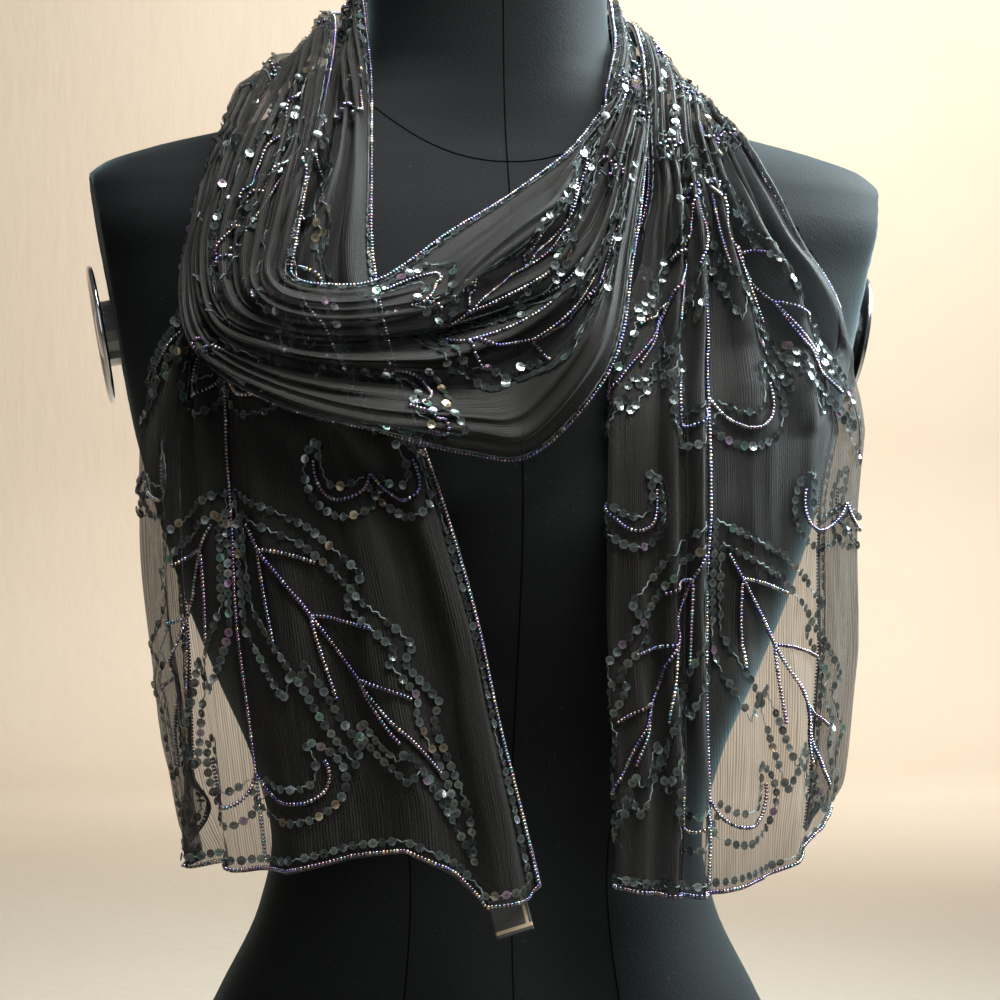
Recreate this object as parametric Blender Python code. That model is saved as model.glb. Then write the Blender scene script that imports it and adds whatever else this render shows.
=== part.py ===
"""Evening stole of sheer crinkled silk, wound once round the neck of a limbless dress form.

Metres, +Z up, +X to the viewer's right seen from the front, front toward -Y.
The stole is one long strip. Its shape is given by a short table of sections along its length,
each with three points across the width and the depth of the folds there. The cloth between
its two long edges keeps its full width: what does not fit between the edges goes into folds.
"""
import bpy
import math
import numpy as np
from collections import namedtuple

# Driving dimensions
STOLE_HALF_WIDTH = 0.145        # half the cut width of the cloth
WALL = 0.0011                   # modelled wall of the cloth
PIECE_GAP = 0.0003              # space between neighbouring stretches of the strip
BEND_LENGTH = 0.011             # cloth used up by the half turn of a turned-under margin
FULL_TURN_FROM = 0.020          # a margin narrower than this is only partly turned
UNDER_DROP = 0.004              # extra room under a margin where the folds are pressed flat
STEEPEST_FOLD = 1.30            # largest slope angle of a fold side, radians
TIP_RADIUS = 0.0016             # tightest bend at the tip of a fold, so that the wall stays clear
NARROWEST_FOLD = 0.30           # share of the half width taken by its narrowest fold

FORM_FOOT = 0.012               # height of the base board, where the padded body starts
FORM_TOP = 0.640                # top of the neck
FORM_TOP_ROUND = 0.006          # rounding at the rim of the neck
FORM_SEGMENTS = 44
BOARD_INSET = 0.004             # the base board stands in from the padded body by this much

ARM_PLANE_POINT = (0.1885, 0.000, 0.500)   # a point of the flat cut at the armhole
ARM_TURN = math.radians(2)      # the cut faces forward by this angle
ARM_TILT = math.radians(10)     # and downward by this one
ARM_CENTRE_Y = 0.014
ARM_CENTRE_Z = 0.448
ARM_BOSS_RADIUS = 0.016
ARM_BOSS_HEIGHT = 0.0060
ARM_PLATE_RADIUS = 0.034
ARM_PLATE_HEIGHT = 0.0026

LABEL_WIDTH = 0.0175
LABEL_HEIGHT = 0.0170
LABEL_THICKNESS = 0.0012
LABEL_CENTRE = (-0.0058, -0.1203, 0.1828)   # its top edge is behind the hem corner
LABEL_TURN = math.radians(10.5)  # turned to the right, seen from the front
LABEL_TILT = math.radians(13.6)  # its right side is raised

# Dress form: half width, front and back depth and squareness at each height
FormRow = namedtuple("FormRow", "z half_width front back squareness")
FORM = (
    FormRow(0.012, 0.158, 0.099, 0.111, 2.30),
    FormRow(0.020, 0.165, 0.105, 0.117, 2.30),
    FormRow(0.050, 0.165, 0.107, 0.119, 2.30),
    FormRow(0.090, 0.150, 0.101, 0.111, 2.30),
    FormRow(0.130, 0.130, 0.092, 0.098, 2.30),
    FormRow(0.170, 0.111, 0.084, 0.086, 2.25),
    FormRow(0.200, 0.105, 0.081, 0.081, 2.25),
    FormRow(0.240, 0.114, 0.086, 0.086, 2.25),
    FormRow(0.280, 0.131, 0.098, 0.096, 2.25),
    FormRow(0.320, 0.147, 0.111, 0.104, 2.30),
    FormRow(0.360, 0.160, 0.119, 0.108, 2.35),
    FormRow(0.400, 0.171, 0.116, 0.108, 2.30),
    FormRow(0.440, 0.181, 0.104, 0.105, 2.20),
    FormRow(0.475, 0.190, 0.091, 0.099, 2.30),
    FormRow(0.500, 0.197, 0.081, 0.092, 2.50),
    FormRow(0.515, 0.197, 0.074, 0.086, 2.40),
    FormRow(0.526, 0.188, 0.069, 0.080, 2.25),
    FormRow(0.535, 0.164, 0.065, 0.075, 2.10),
    FormRow(0.545, 0.124, 0.062, 0.070, 2.00),
    FormRow(0.555, 0.095, 0.060, 0.066, 2.00),
    FormRow(0.565, 0.074, 0.0585, 0.0625, 2.00),
    FormRow(0.578, 0.063, 0.0575, 0.0600, 2.00),
    FormRow(0.600, 0.059, 0.0565, 0.0585, 2.00),
    FormRow(0.640, 0.058, 0.0560, 0.0580, 2.00),
)
FORM_RING_HEIGHTS = (
    0.012, 0.020, 0.035, 0.060, 0.095, 0.130, 0.165, 0.200, 0.240, 0.280, 0.320, 0.355,
    0.385, 0.415, 0.445, 0.475, 0.498, 0.513, 0.524, 0.533, 0.541, 0.549, 0.557, 0.566,
    0.578, 0.600, 0.634,
)

# The stole, section by section
# inner, mid, outer: the edge toward the neck, the centre line and the other edge (or the fold
#   where that margin is turned under)
# lift: least distance from the dress form;  depth: how far the folds stand out, 1 is full
# merge: 0 for three small folds a half, 1 for two large ones;  lean: how far the folds hang over
# under_in, under_out: width of the margin turned under
# in_1 ... out_3: strength of the small folds, counted from the centre line
Section = namedtuple(
    "Section",
    "inner mid outer lift depth merge lean under_in under_out in_1 in_2 in_3 out_1 out_2 out_3",
)
END_LEFT = (     # hangs at the viewer's right, from the hem up to the shoulder
    Section((0.043, -0.118, 0.193), (0.086, -0.106, 0.188), (0.160, -0.050, 0.220),
            0.004, 0.70, 0.0, 0.0, 0.046, 0.020, 1.0, 1.0, 0.6, 0.3, 0.5, 0.0),
    Section((0.042, -0.120, 0.242), (0.086, -0.108, 0.240), (0.170, -0.048, 0.236),
            0.004, 0.70, 0.0, 0.0, 0.048, 0.024, 1.0, 1.0, 0.5, 0.3, 0.5, 0.0),
    Section((0.038, -0.122, 0.304), (0.084, -0.110, 0.303), (0.178, -0.046, 0.297),
            0.004, 0.70, 0.0, 0.0, 0.050, 0.026, 1.0, 1.0, 0.3, 0.3, 0.5, 0.0),
    Section((0.038, -0.126, 0.358), (0.084, -0.116, 0.358), (0.181, -0.050, 0.357),
            0.009, 0.70, 0.0, 0.0, 0.050, 0.028, 1.0, 1.0, 0.3, 0.4, 0.6, 0.0),
    Section((0.039, -0.124, 0.402), (0.084, -0.116, 0.403), (0.180, -0.053, 0.406),
            0.009, 0.60, 0.0, 0.0, 0.050, 0.022, 1.0, 1.0, 0.3, 0.5, 0.7, 0.2),
    Section((0.045, -0.110, 0.443), (0.086, -0.101, 0.444), (0.168, -0.058, 0.451),
            0.009, 0.45, 0.0, 0.0, 0.036, 0.006, 1.0, 1.0, 0.3, 0.6, 0.8, 0.5),
    Section((0.061, -0.093, 0.486), (0.087, -0.087, 0.488), (0.146, -0.072, 0.495),
            0.009, 0.33, 0.0, 0.0, 0.012, 0.000, 1.0, 1.0, 0.4, 0.8, 0.9, 0.8),
    Section((0.074, -0.070, 0.530), (0.089, -0.063, 0.533), (0.131, -0.043, 0.538),
            0.005, 0.24, 0.0, 0.0, 0.000, 0.000, 1.0, 1.0, 0.8, 1.0, 1.0, 1.0),
)
BACK_OUTER = (   # from that shoulder round the back of the neck
    Section((0.080, -0.012, 0.582), (0.094, -0.004, 0.573), (0.120, 0.018, 0.561),
            0.004, 0.24, 0.0, 0.0, 0.000, 0.000, 1.0, 1.0, 1.0, 1.0, 1.0, 1.0),
    Section((0.074, 0.042, 0.611), (0.085, 0.047, 0.585), (0.098, 0.051, 0.556),
            0.002, 0.35, 0.0, 0.0, 0.000, 0.000, 1.0, 1.0, 1.0, 1.0, 1.0, 1.0),
    Section((0.000, 0.077, 0.613), (0.000, 0.083, 0.581), (0.000, 0.081, 0.548),
            0.002, 0.35, 0.0, 0.0, 0.000, 0.000, 1.0, 1.0, 1.0, 1.0, 1.0, 1.0),
    Section((-0.074, 0.042, 0.611), (-0.084, 0.046, 0.585), (-0.096, 0.050, 0.557),
            0.002, 0.35, 0.0, 0.0, 0.000, 0.000, 1.0, 1.0, 1.0, 1.0, 1.0, 1.0),
)
LOOP_LEFT = (    # over the other shoulder and down to the tight bend on the chest
    Section((-0.074, -0.005, 0.598), (-0.086, 0.003, 0.584), (-0.104, 0.014, 0.566),
            0.010, 0.35, 0.0, 0.0, 0.000, 0.000, 1.0, 1.0, 1.0, 1.0, 1.0, 1.0),
    Section((-0.084, -0.056, 0.553), (-0.106, -0.046, 0.555), (-0.122, -0.048, 0.546),
            0.008, 0.26, 0.0, 0.0, 0.000, 0.000, 1.0, 1.0, 1.0, 1.0, 1.0, 1.0),
    Section((-0.094, -0.087, 0.508), (-0.126, -0.077, 0.514), (-0.140, -0.077, 0.500),
            0.010, 0.28, 0.2, 0.1, 0.000, 0.000, 1.0, 1.0, 1.0, 1.0, 1.0, 1.0),
    Section((-0.100, -0.100, 0.477), (-0.134, -0.087, 0.481), (-0.146, -0.084, 0.466),
            0.010, 0.32, 0.4, 0.2, 0.000, 0.000, 1.0, 1.0, 1.0, 1.0, 1.0, 1.0),
    Section((-0.1005, -0.103, 0.4655), (-0.127, -0.101, 0.447), (-0.139, -0.101, 0.430),
            0.010, 0.40, 0.5, 0.3, 0.000, 0.000, 1.0, 1.0, 1.0, 1.0, 1.0, 1.0),
)
LOOP_FRONT = (   # across the chest in a hanging curve and up the side of the neck
    Section((-0.090, -0.109, 0.4615), (-0.100, -0.114, 0.438), (-0.110, -0.121, 0.410),
            0.012, 0.50, 0.6, 0.5, 0.000, 0.000, 1.0, 1.0, 1.0, 1.0, 1.0, 1.0),
    Section((-0.062, -0.111, 0.464), (-0.064, -0.121, 0.438), (-0.064, -0.133, 0.397),
            0.010, 0.65, 0.8, 0.6, 0.000, 0.000, 1.0, 1.0, 1.0, 1.0, 1.0, 1.0),
    Section((-0.030, -0.098, 0.488), (-0.034, -0.110, 0.444), (-0.027, -0.130, 0.387),
            0.004, 0.75, 1.0, 0.6, 0.000, 0.000, 1.0, 1.0, 1.0, 1.0, 1.0, 1.0),
    Section((0.001, -0.084, 0.507), (-0.004, -0.106, 0.453), (0.006, -0.128, 0.388),
            0.004, 0.75, 1.0, 0.5, 0.000, 0.000, 1.0, 1.0, 1.0, 1.0, 1.0, 1.0),
    Section((0.026, -0.074, 0.526), (0.020, -0.103, 0.463), (0.037, -0.128, 0.424),
            0.004, 0.70, 0.9, 0.4, 0.000, 0.000, 1.0, 1.0, 1.0, 1.0, 1.0, 1.0),
    Section((0.042, -0.064, 0.544), (0.039, -0.096, 0.486), (0.051, -0.108, 0.476),
            0.004, 0.50, 0.7, 0.2, 0.000, 0.000, 1.0, 1.0, 1.0, 1.0, 1.0, 1.0),
    Section((0.049, -0.054, 0.558), (0.054, -0.070, 0.534), (0.062, -0.080, 0.523),
            0.003, 0.24, 0.7, 0.1, 0.000, 0.000, 1.0, 1.0, 1.0, 1.0, 1.0, 1.0),
)
BACK_INNER = (   # round the back of the neck again, inside the first turn
    Section((0.060, -0.012, 0.595), (0.066, -0.013, 0.580), (0.074, -0.018, 0.569),
            0.002, 0.15, 0.1, 0.0, 0.000, 0.000, 1.0, 1.0, 1.0, 1.0, 1.0, 1.0),
    Section((0.059, 0.026, 0.626), (0.063, 0.030, 0.604), (0.069, 0.035, 0.580),
            0.002, 0.20, 0.0, 0.0, 0.000, 0.000, 1.0, 1.0, 1.0, 1.0, 1.0, 1.0),
    Section((0.000, 0.0625, 0.628), (0.000, 0.066, 0.604), (0.000, 0.072, 0.580),
            0.002, 0.20, 0.0, 0.0, 0.000, 0.000, 1.0, 1.0, 1.0, 1.0, 1.0, 1.0),
    Section((-0.059, 0.026, 0.626), (-0.063, 0.030, 0.604), (-0.069, 0.035, 0.580),
            0.002, 0.20, 0.0, 0.0, 0.000, 0.000, 1.0, 1.0, 1.0, 1.0, 1.0, 1.0),
)
END_RIGHT = (    # hangs at the viewer's left, from the neck down to the hem, under the loop
    Section((-0.061, -0.018, 0.602), (-0.066, -0.008, 0.586), (-0.072, 0.004, 0.572),
            0.002, 0.25, 0.0, 0.0, 0.000, 0.000, 1.0, 1.0, 1.0, 1.0, 1.0, 1.0),
    Section((-0.062, -0.048, 0.560), (-0.080, -0.044, 0.552), (-0.098, -0.036, 0.548),
            0.003, 0.22, 0.0, 0.0, 0.000, 0.000, 1.0, 1.0, 1.0, 1.0, 1.0, 1.0),
    Section((-0.064, -0.076, 0.513), (-0.098, -0.073, 0.511), (-0.122, -0.068, 0.508),
            0.003, 0.22, 0.0, 0.0, 0.000, 0.000, 1.0, 1.0, 1.0, 1.0, 1.0, 1.0),
    Section((-0.064, -0.095, 0.470), (-0.121, -0.083, 0.468), (-0.142, -0.077, 0.466),
            0.007, 0.30, 0.0, 0.0, 0.000, 0.020, 1.0, 1.0, 1.0, 0.8, 1.0, 0.6),
    Section((-0.058, -0.109, 0.433), (-0.130, -0.089, 0.436), (-0.158, -0.066, 0.437),
            0.009, 0.40, 0.0, 0.0, 0.000, 0.032, 0.7, 0.8, 1.0, 0.6, 0.8, 0.2),
    Section((-0.047, -0.121, 0.397), (-0.130, -0.098, 0.400), (-0.168, -0.048, 0.402),
            0.004, 0.50, 0.0, 0.0, 0.000, 0.036, 0.5, 0.6, 1.0, 0.5, 0.8, 0.0),
    Section((-0.034, -0.126, 0.358), (-0.128, -0.102, 0.358), (-0.169, -0.044, 0.357),
            0.004, 0.60, 0.0, 0.0, 0.000, 0.036, 0.4, 0.5, 1.0, 0.5, 0.8, 0.0),
    Section((-0.021, -0.124, 0.314), (-0.125, -0.102, 0.314), (-0.166, -0.042, 0.309),
            0.004, 0.60, 0.0, 0.0, 0.000, 0.036, 0.3, 0.5, 1.0, 0.5, 0.8, 0.0),
    Section((-0.011, -0.122, 0.269), (-0.120, -0.101, 0.269), (-0.161, -0.040, 0.271),
            0.004, 0.60, 0.0, 0.0, 0.000, 0.036, 0.3, 0.5, 1.0, 0.5, 0.8, 0.0),
    Section((-0.002, -0.120, 0.234), (-0.116, -0.100, 0.238), (-0.155, -0.040, 0.233),
            0.004, 0.60, 0.0, 0.0, 0.000, 0.036, 0.3, 0.5, 1.0, 0.5, 0.8, 0.0),
    Section((0.008, -0.117, 0.195), (-0.112, -0.098, 0.202), (-0.149, -0.040, 0.204),
            0.004, 0.60, 0.0, 0.0, 0.000, 0.034, 0.4, 0.6, 1.0, 0.5, 0.8, 0.0),
)
STRETCHES = (END_LEFT, BACK_OUTER, LOOP_LEFT, LOOP_FRONT, BACK_INNER, END_RIGHT)
STRETCH_NAMES = (
    "stole_end_left", "stole_back_outer", "stole_loop_left",
    "stole_loop_front", "stole_back_inner", "stole_end_right",
)
# Steps of the wall from each section of a stretch to the next one
STEPS = (
    (1, 1, 1, 1, 3, 3, 5, 2),
    (2, 2, 2, 2),
    (2, 3, 2, 2, 2),
    (2, 2, 2, 2, 2, 2, 3),
    (2, 2, 2, 2),
    (2, 2, 5, 2, 1, 1, 1, 1, 1, 1),
)

SMALL_FOLD_LIMITS = (0.0, 0.36, 0.70, 1.0)      # shares of the half width
LARGE_FOLD_LIMITS_IN = (0.0, 0.30, 1.0)
LARGE_FOLD_LIMITS_OUT = (0.0, 0.42, 1.0)

# Rise of the hem of the end at the viewer's left: distance across from the centre line, rise
HEM_RISE = (
    (-0.145, 0.000), (-0.136, -0.006), (-0.111, -0.010), (-0.102, -0.003), (-0.094, 0.004),
    (-0.070, 0.014), (-0.045, 0.010), (-0.012, 0.000), (0.145, 0.000),
)
HEM_RISE_REACH = 0.070

# Points across each half: over the folds, over the turned edge, over the margin beneath it
POINTS_FOLDS = 12
POINTS_BEND = 3
POINTS_UNDER = 2
SMALLEST_MARGIN = 0.006


# Curves through tables
def cubic_through(x, y, at):
    """Smooth curve through the rows y at x, slopes taken from each row's two neighbours."""
    step = np.diff(x)[:, None]
    slope = np.diff(y, axis=0) / step
    m = np.empty_like(y)
    m[1:-1] = (slope[:-1] * step[1:] + slope[1:] * step[:-1]) / (step[1:] + step[:-1])
    m[0] = slope[0]
    m[-1] = slope[-1]
    return hermite(x, y, m, at)


def steady_cubic_through(x, y, at):
    """Smooth curve through the rows y at x that never swings past a row."""
    step = np.diff(x)[:, None]
    slope = np.diff(y, axis=0) / step
    m = np.zeros_like(y)
    same = slope[:-1] * slope[1:] > 0
    total = np.where(same, slope[:-1] + slope[1:], 1.0)
    m[1:-1] = np.where(same, 2 * slope[:-1] * slope[1:] / total, 0.0)
    m[0] = slope[0]
    m[-1] = slope[-1]
    return hermite(x, y, m, at)


def hermite(x, y, m, at):
    """Cubic pieces with values y and slopes m at x."""
    flat = np.clip(np.asarray(at, dtype=float).ravel(), x[0], x[-1])
    i = np.clip(np.searchsorted(x, flat, side="right") - 1, 0, len(x) - 2)
    h = (x[i + 1] - x[i])[:, None]
    t = (flat - x[i])[:, None] / h
    value = (2 * t**3 - 3 * t**2 + 1) * y[i] + (t**3 - 2 * t**2 + t) * h * m[i]
    value = value + (3 * t**2 - 2 * t**3) * y[i + 1] + (t**3 - t**2) * h * m[i + 1]
    return value.reshape(np.shape(at) + (y.shape[1],))


def smooth_step(t):
    """0 before 0, 1 after 1, and a smooth rise between."""
    t = np.clip(t, 0.0, 1.0)
    return t * t * (3 - 2 * t)


# Dress form
FORM_TABLE = np.array(FORM)


def form_level(points):
    """Below 1 inside the dress form, 1 on it, above 1 outside."""
    row = steady_cubic_through(FORM_TABLE[:, 0], FORM_TABLE[:, 1:], points[..., 2])
    depth = np.where(points[..., 1] < 0, row[..., 1], row[..., 2])
    n = row[..., 3]
    across = (np.abs(points[..., 0]) / row[..., 0]) ** n
    along = (np.abs(points[..., 1]) / depth) ** n
    return (across + along) ** (1 / n)


def push_off_form(points, least, rounds=5):
    """Moves points that lie nearer the form than least straight out to that distance."""
    points = points.copy()
    e = 0.0005
    for _ in range(rounds):
        value = form_level(points) - 1
        slopes = []
        for axis in range(3):
            shift = np.zeros(3)
            shift[axis] = e
            slopes.append((form_level(points + shift) - form_level(points - shift)) / (2 * e))
        grad = np.stack(slopes, axis=-1)
        size = np.linalg.norm(grad, axis=-1)
        short = np.maximum(least - value / size, 0)
        points += grad / size[..., None] * short[..., None]
    return points


def arm_normal(side):
    """Outward direction of the flat cut at the armhole, side is -1 or 1."""
    return np.array([
        side * math.cos(ARM_TILT) * math.cos(ARM_TURN),
        -math.cos(ARM_TILT) * math.sin(ARM_TURN),
        -math.sin(ARM_TILT),
    ])


def form_ring(z, scale=1.0):
    """One level ring of the form, cut flat at both armholes."""
    row = steady_cubic_through(FORM_TABLE[:, 0], FORM_TABLE[:, 1:], np.array(z))
    ring = []
    for k in range(FORM_SEGMENTS):
        angle = 2 * math.pi * k / FORM_SEGMENTS
        c = math.cos(angle)
        s = math.sin(angle)
        depth = row[1] if s < 0 else row[2]
        x = row[0] * math.copysign(abs(c) ** (2 / row[3]), c) * scale
        y = depth * math.copysign(abs(s) ** (2 / row[3]), s) * scale
        side = 1.0 if x > 0 else -1.0
        normal = arm_normal(side)
        corner = np.array([side * ARM_PLANE_POINT[0], ARM_PLANE_POINT[1], ARM_PLANE_POINT[2]])
        over = float(normal @ (np.array([x, y, z]) - corner))
        if over > 0 and z > 0.30:
            x -= over / normal[0]
        ring.append((x, y, z))
    return ring


def loft(rings):
    """Closed solid through level rings, with flat ends."""
    count = len(rings[0])
    verts = [p for ring in rings for p in ring]
    faces = []
    for j in range(len(rings) - 1):
        for k in range(count):
            a = j * count + k
            b = j * count + (k + 1) % count
            faces.append((a, b, b + count, a + count))
    faces.append(tuple(reversed(range(count))))
    last = (len(rings) - 1) * count
    faces.append(tuple(range(last, last + count)))
    return verts, faces


# The strip of cloth
ALL_SECTIONS = [row for stretch in STRETCHES for row in stretch]
POINTS_TABLE = np.array([row.inner + row.mid + row.outer for row in ALL_SECTIONS])
SHAPE_TABLE = np.array([row[3:] for row in ALL_SECTIONS])
STATION = np.concatenate([
    [0.0],
    np.cumsum(np.linalg.norm(np.diff(POINTS_TABLE[:, 3:6], axis=0), axis=1)),
])


def fold_wave(share, limits, strengths):
    """One whole wave between each two limits, times the strength of that fold; 0 beyond 1."""
    limits = np.array(limits)
    i = np.clip(np.searchsorted(limits, share, side="right") - 1, 0, len(limits) - 2)
    t = (share - limits[i]) / (limits[i + 1] - limits[i])
    wave = np.sin(2 * np.pi * t) * np.take_along_axis(strengths, i, axis=1)
    return np.where(share < 1, wave, 0.0)


def half_profile(chord, depth, merge, under, strengths, large_limits, fine=241):
    """Across one half of the cloth: distance from the centre line, way along the base, height.

    The slope angle is the fold waves times one size per station, found by halving so that the
    half fits its chord, plus a half turn at the margin that is turned under.
    """
    across = np.linspace(0, STOLE_HALF_WIDTH, fine)
    start = STOLE_HALF_WIDTH - under - BEND_LENGTH
    turned = smooth_step(under / FULL_TURN_FROM)[:, None]
    folded = STOLE_HALF_WIDTH - turned * (under[:, None] + BEND_LENGTH)
    share = across[None] / folded
    small = fold_wave(share, SMALL_FOLD_LIMITS, strengths)
    large = fold_wave(share, large_limits, np.ones((len(under), len(large_limits) - 1)))
    wave = (1 - merge[:, None]) * small + merge[:, None] * large
    turn = -np.pi * turned * smooth_step((across[None] - start[:, None]) / BEND_LENGTH)
    low = np.zeros(len(chord))
    high = np.full(len(chord), STEEPEST_FOLD)
    step = across[1]
    for _ in range(30):
        size = (low + high) / 2
        angle = size[:, None] * wave + turn
        way = running_sum(np.cos(angle), step)
        too_long = way.max(axis=1) > chord
        low = np.where(too_long, size, low)
        high = np.where(too_long, high, size)
    way = way * np.minimum(1.0, chord / way.max(axis=1))[:, None]
    height = running_sum(np.sin(angle), step)
    narrow = chord * NARROWEST_FOLD
    tallest = narrow**2 / (2 * np.pi**2 * TIP_RADIUS)
    depth = np.minimum(depth, tallest / np.maximum(height.max(axis=1), 1e-6))[:, None]
    below = smooth_step((across[None] - start[:, None]) / BEND_LENGTH) * turned
    height = height * depth - below * UNDER_DROP * (1 - depth)
    return across, way, height, points_across(under)


def running_sum(values, step):
    """Sum along the second axis by the trapezium rule, starting at 0."""
    inner = np.cumsum((values[:, 1:] + values[:, :-1]) / 2, axis=1) * step
    return np.concatenate([np.zeros((len(values), 1)), inner], axis=1)


def points_across(under):
    """Distances from the centre line where the half is cut into points, per station.

    Even spacing, or closer points on the bend where a margin is turned under.
    """
    turned = smooth_step(under / FULL_TURN_FROM)[:, None]
    count = POINTS_FOLDS + POINTS_BEND + POINTS_UNDER
    even = STOLE_HALF_WIDTH * np.linspace(0, 1, count + 1)[None, 1:]
    margin = np.maximum(under, SMALLEST_MARGIN)[:, None]
    start = STOLE_HALF_WIDTH - margin - BEND_LENGTH
    folds = start * np.linspace(0, 1, POINTS_FOLDS + 1)[None, 1:]
    bend = start + BEND_LENGTH * np.linspace(0, 1, POINTS_BEND + 1)[None, 1:]
    rest = start + BEND_LENGTH + margin * np.linspace(0, 1, POINTS_UNDER + 1)[None, 1:]
    return turned * np.concatenate([folds, bend, rest], axis=1) + (1 - turned) * even


def base_rows(stations):
    """Unfolded cross curves of the strip: 33 points each from edge to edge, clear of the form."""
    rows = cubic_through(STATION, POINTS_TABLE, stations)
    lift = steady_cubic_through(STATION, SHAPE_TABLE, stations)[:, 0]
    inner = rows[:, None, 0:3]
    mid = rows[:, None, 3:6]
    outer = rows[:, None, 6:9]
    one = np.linalg.norm(mid - inner, axis=-1, keepdims=True)
    two = np.linalg.norm(outer - mid, axis=-1, keepdims=True)
    half = np.linspace(0, 1, 17)[None, :, None]
    at = np.concatenate([one * (half[:, :-1] - 1), two * half], axis=1)
    base = inner * at * (at - two) / (one * (one + two))
    base = base - mid * (at + one) * (at - two) / (one * two)
    base = base + outer * at * (at + one) / (two * (one + two))
    return push_off_form(base, lift[:, None])


def strip_points(stations):
    """Middle surface of the strip at the given stations, inner edge first."""
    shape = steady_cubic_through(STATION, SHAPE_TABLE, stations)
    depth, merge, lean, under_in, under_out = shape[:, 1:6].T
    base = base_rows(stations)
    near = 0.004
    ahead = base_rows(np.minimum(stations + near, STATION[-1]))
    behind = base_rows(np.maximum(stations - near, 0.0))
    normal = np.cross(np.gradient(base, axis=1), ahead - behind)
    normal /= np.linalg.norm(normal, axis=-1, keepdims=True)
    arc = running_sum_lengths(base)
    arc -= arc[:, 16:17]
    halves = (
        half_profile(-arc[:, 0], depth, merge, under_in, shape[:, 6:9], LARGE_FOLD_LIMITS_IN),
        half_profile(arc[:, -1], depth, merge, under_out, shape[:, 9:12], LARGE_FOLD_LIMITS_OUT),
    )
    grid = []
    for k in range(len(stations)):
        ways = []
        heights = []
        for sign, (across, way, height, cuts) in zip((-1, 1), halves):
            ways.append(sign * np.interp(cuts[k], across, way[k]))
            heights.append(np.interp(cuts[k], across, height[k]))
        way = np.concatenate([ways[0][::-1], [0.0], ways[1]])
        height = np.concatenate([heights[0][::-1], [0.0], heights[1]])
        grid.append(on_base(way + lean[k] * height, height, arc[k], base[k], normal[k]))
    return np.array(grid)


def running_sum_lengths(base):
    """Length along each row of points, starting at 0."""
    lengths = np.linalg.norm(np.diff(base, axis=1), axis=-1)
    return np.concatenate([np.zeros((len(base), 1)), np.cumsum(lengths, axis=1)], axis=1)


def on_base(way, height, arc, base, normal):
    """Points at the given way along the base curve, raised by height."""
    over = np.maximum(way - arc[-1], 0.0)
    before = np.minimum(way - arc[0], 0.0)
    last = (base[-1] - base[-2]) / (arc[-1] - arc[-2])
    first = (base[1] - base[0]) / (arc[1] - arc[0])
    points = []
    for axis in range(3):
        along = np.interp(way, arc, base[:, axis]) + over * last[axis] + before * first[axis]
        points.append(along + np.interp(way, arc, normal[:, axis]) * height)
    return np.stack(points, axis=-1)


def raise_hem(grid, stations):
    """Lifts the hem of the hanging end at the viewer's left where it swings forward."""
    table = np.array(HEM_RISE)
    nearness = smooth_step(1 - (STATION[-1] - stations) / HEM_RISE_REACH)
    share = np.linspace(-1, 1, grid.shape[1]) * STOLE_HALF_WIDTH
    rise = np.interp(share, table[:, 0], table[:, 1])
    grid = grid.copy()
    grid[:, :, 2] += nearness[:, None] * rise[None]
    return grid


def cloth_normals(grids):
    """Outward directions of all stretches, the same on both sides of each seam."""
    whole = np.concatenate(grids)
    normal = np.cross(np.gradient(whole, axis=1), np.gradient(whole, axis=0))
    normal /= np.linalg.norm(normal, axis=-1, keepdims=True)
    limits = np.cumsum([len(grid) for grid in grids])[:-1]
    for seam in limits:
        shared = normal[seam - 1] + normal[seam]
        shared /= np.linalg.norm(shared, axis=-1, keepdims=True)
        normal[seam - 1] = shared
        normal[seam] = shared
    return np.split(normal, limits)


def thicken(grid, normal, wall):
    """Closed solid around a grid of middle points, wall thick; both sides are split alike."""
    front = (grid + normal * wall / 2).reshape(-1, 3)
    back = (grid - normal * wall / 2).reshape(-1, 3)
    rows, cols = grid.shape[:2]
    total = rows * cols
    falling = np.linalg.norm(grid[:-1, :-1] - grid[1:, 1:], axis=-1)
    rising = np.linalg.norm(grid[:-1, 1:] - grid[1:, :-1], axis=-1)
    faces = []
    for j in range(rows - 1):
        for k in range(cols - 1):
            a = j * cols + k
            b = a + 1
            c = a + cols + 1
            d = a + cols
            if falling[j, k] <= rising[j, k]:
                halves = ((a, b, c), (a, c, d))
            else:
                halves = ((a, b, d), (b, c, d))
            for p, q, r in halves:
                faces.append((p, q, r))
                faces.append((total + r, total + q, total + p))
    rim = [k for k in range(cols)]
    rim += [j * cols + cols - 1 for j in range(1, rows)]
    rim += [(rows - 1) * cols + k for k in range(cols - 2, -1, -1)]
    rim += [j * cols for j in range(rows - 2, 0, -1)]
    for k, a in enumerate(rim):
        b = rim[(k + 1) % len(rim)]
        faces.append((b, a, total + a, total + b))
    return np.concatenate([front, back]), faces


# Blender objects
def material(name, colour, roughness, metallic=0.0):
    """Principled material."""
    result = bpy.data.materials.new(name)
    result.use_nodes = True
    shader = result.node_tree.nodes["Principled BSDF"]
    shader.inputs["Base Color"].default_value = (*colour, 1.0)
    shader.inputs["Roughness"].default_value = roughness
    shader.inputs["Metallic"].default_value = metallic
    return result


def solid(name, verts, faces, finish):
    """Object from points and faces."""
    mesh = bpy.data.meshes.new(name)
    mesh.from_pydata([tuple(float(c) for c in v) for v in verts], [], faces)
    mesh.validate()
    mesh.update()
    mesh.materials.append(finish)
    obj = bpy.data.objects.new(name, mesh)
    bpy.context.scene.collection.objects.link(obj)
    return obj


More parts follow.
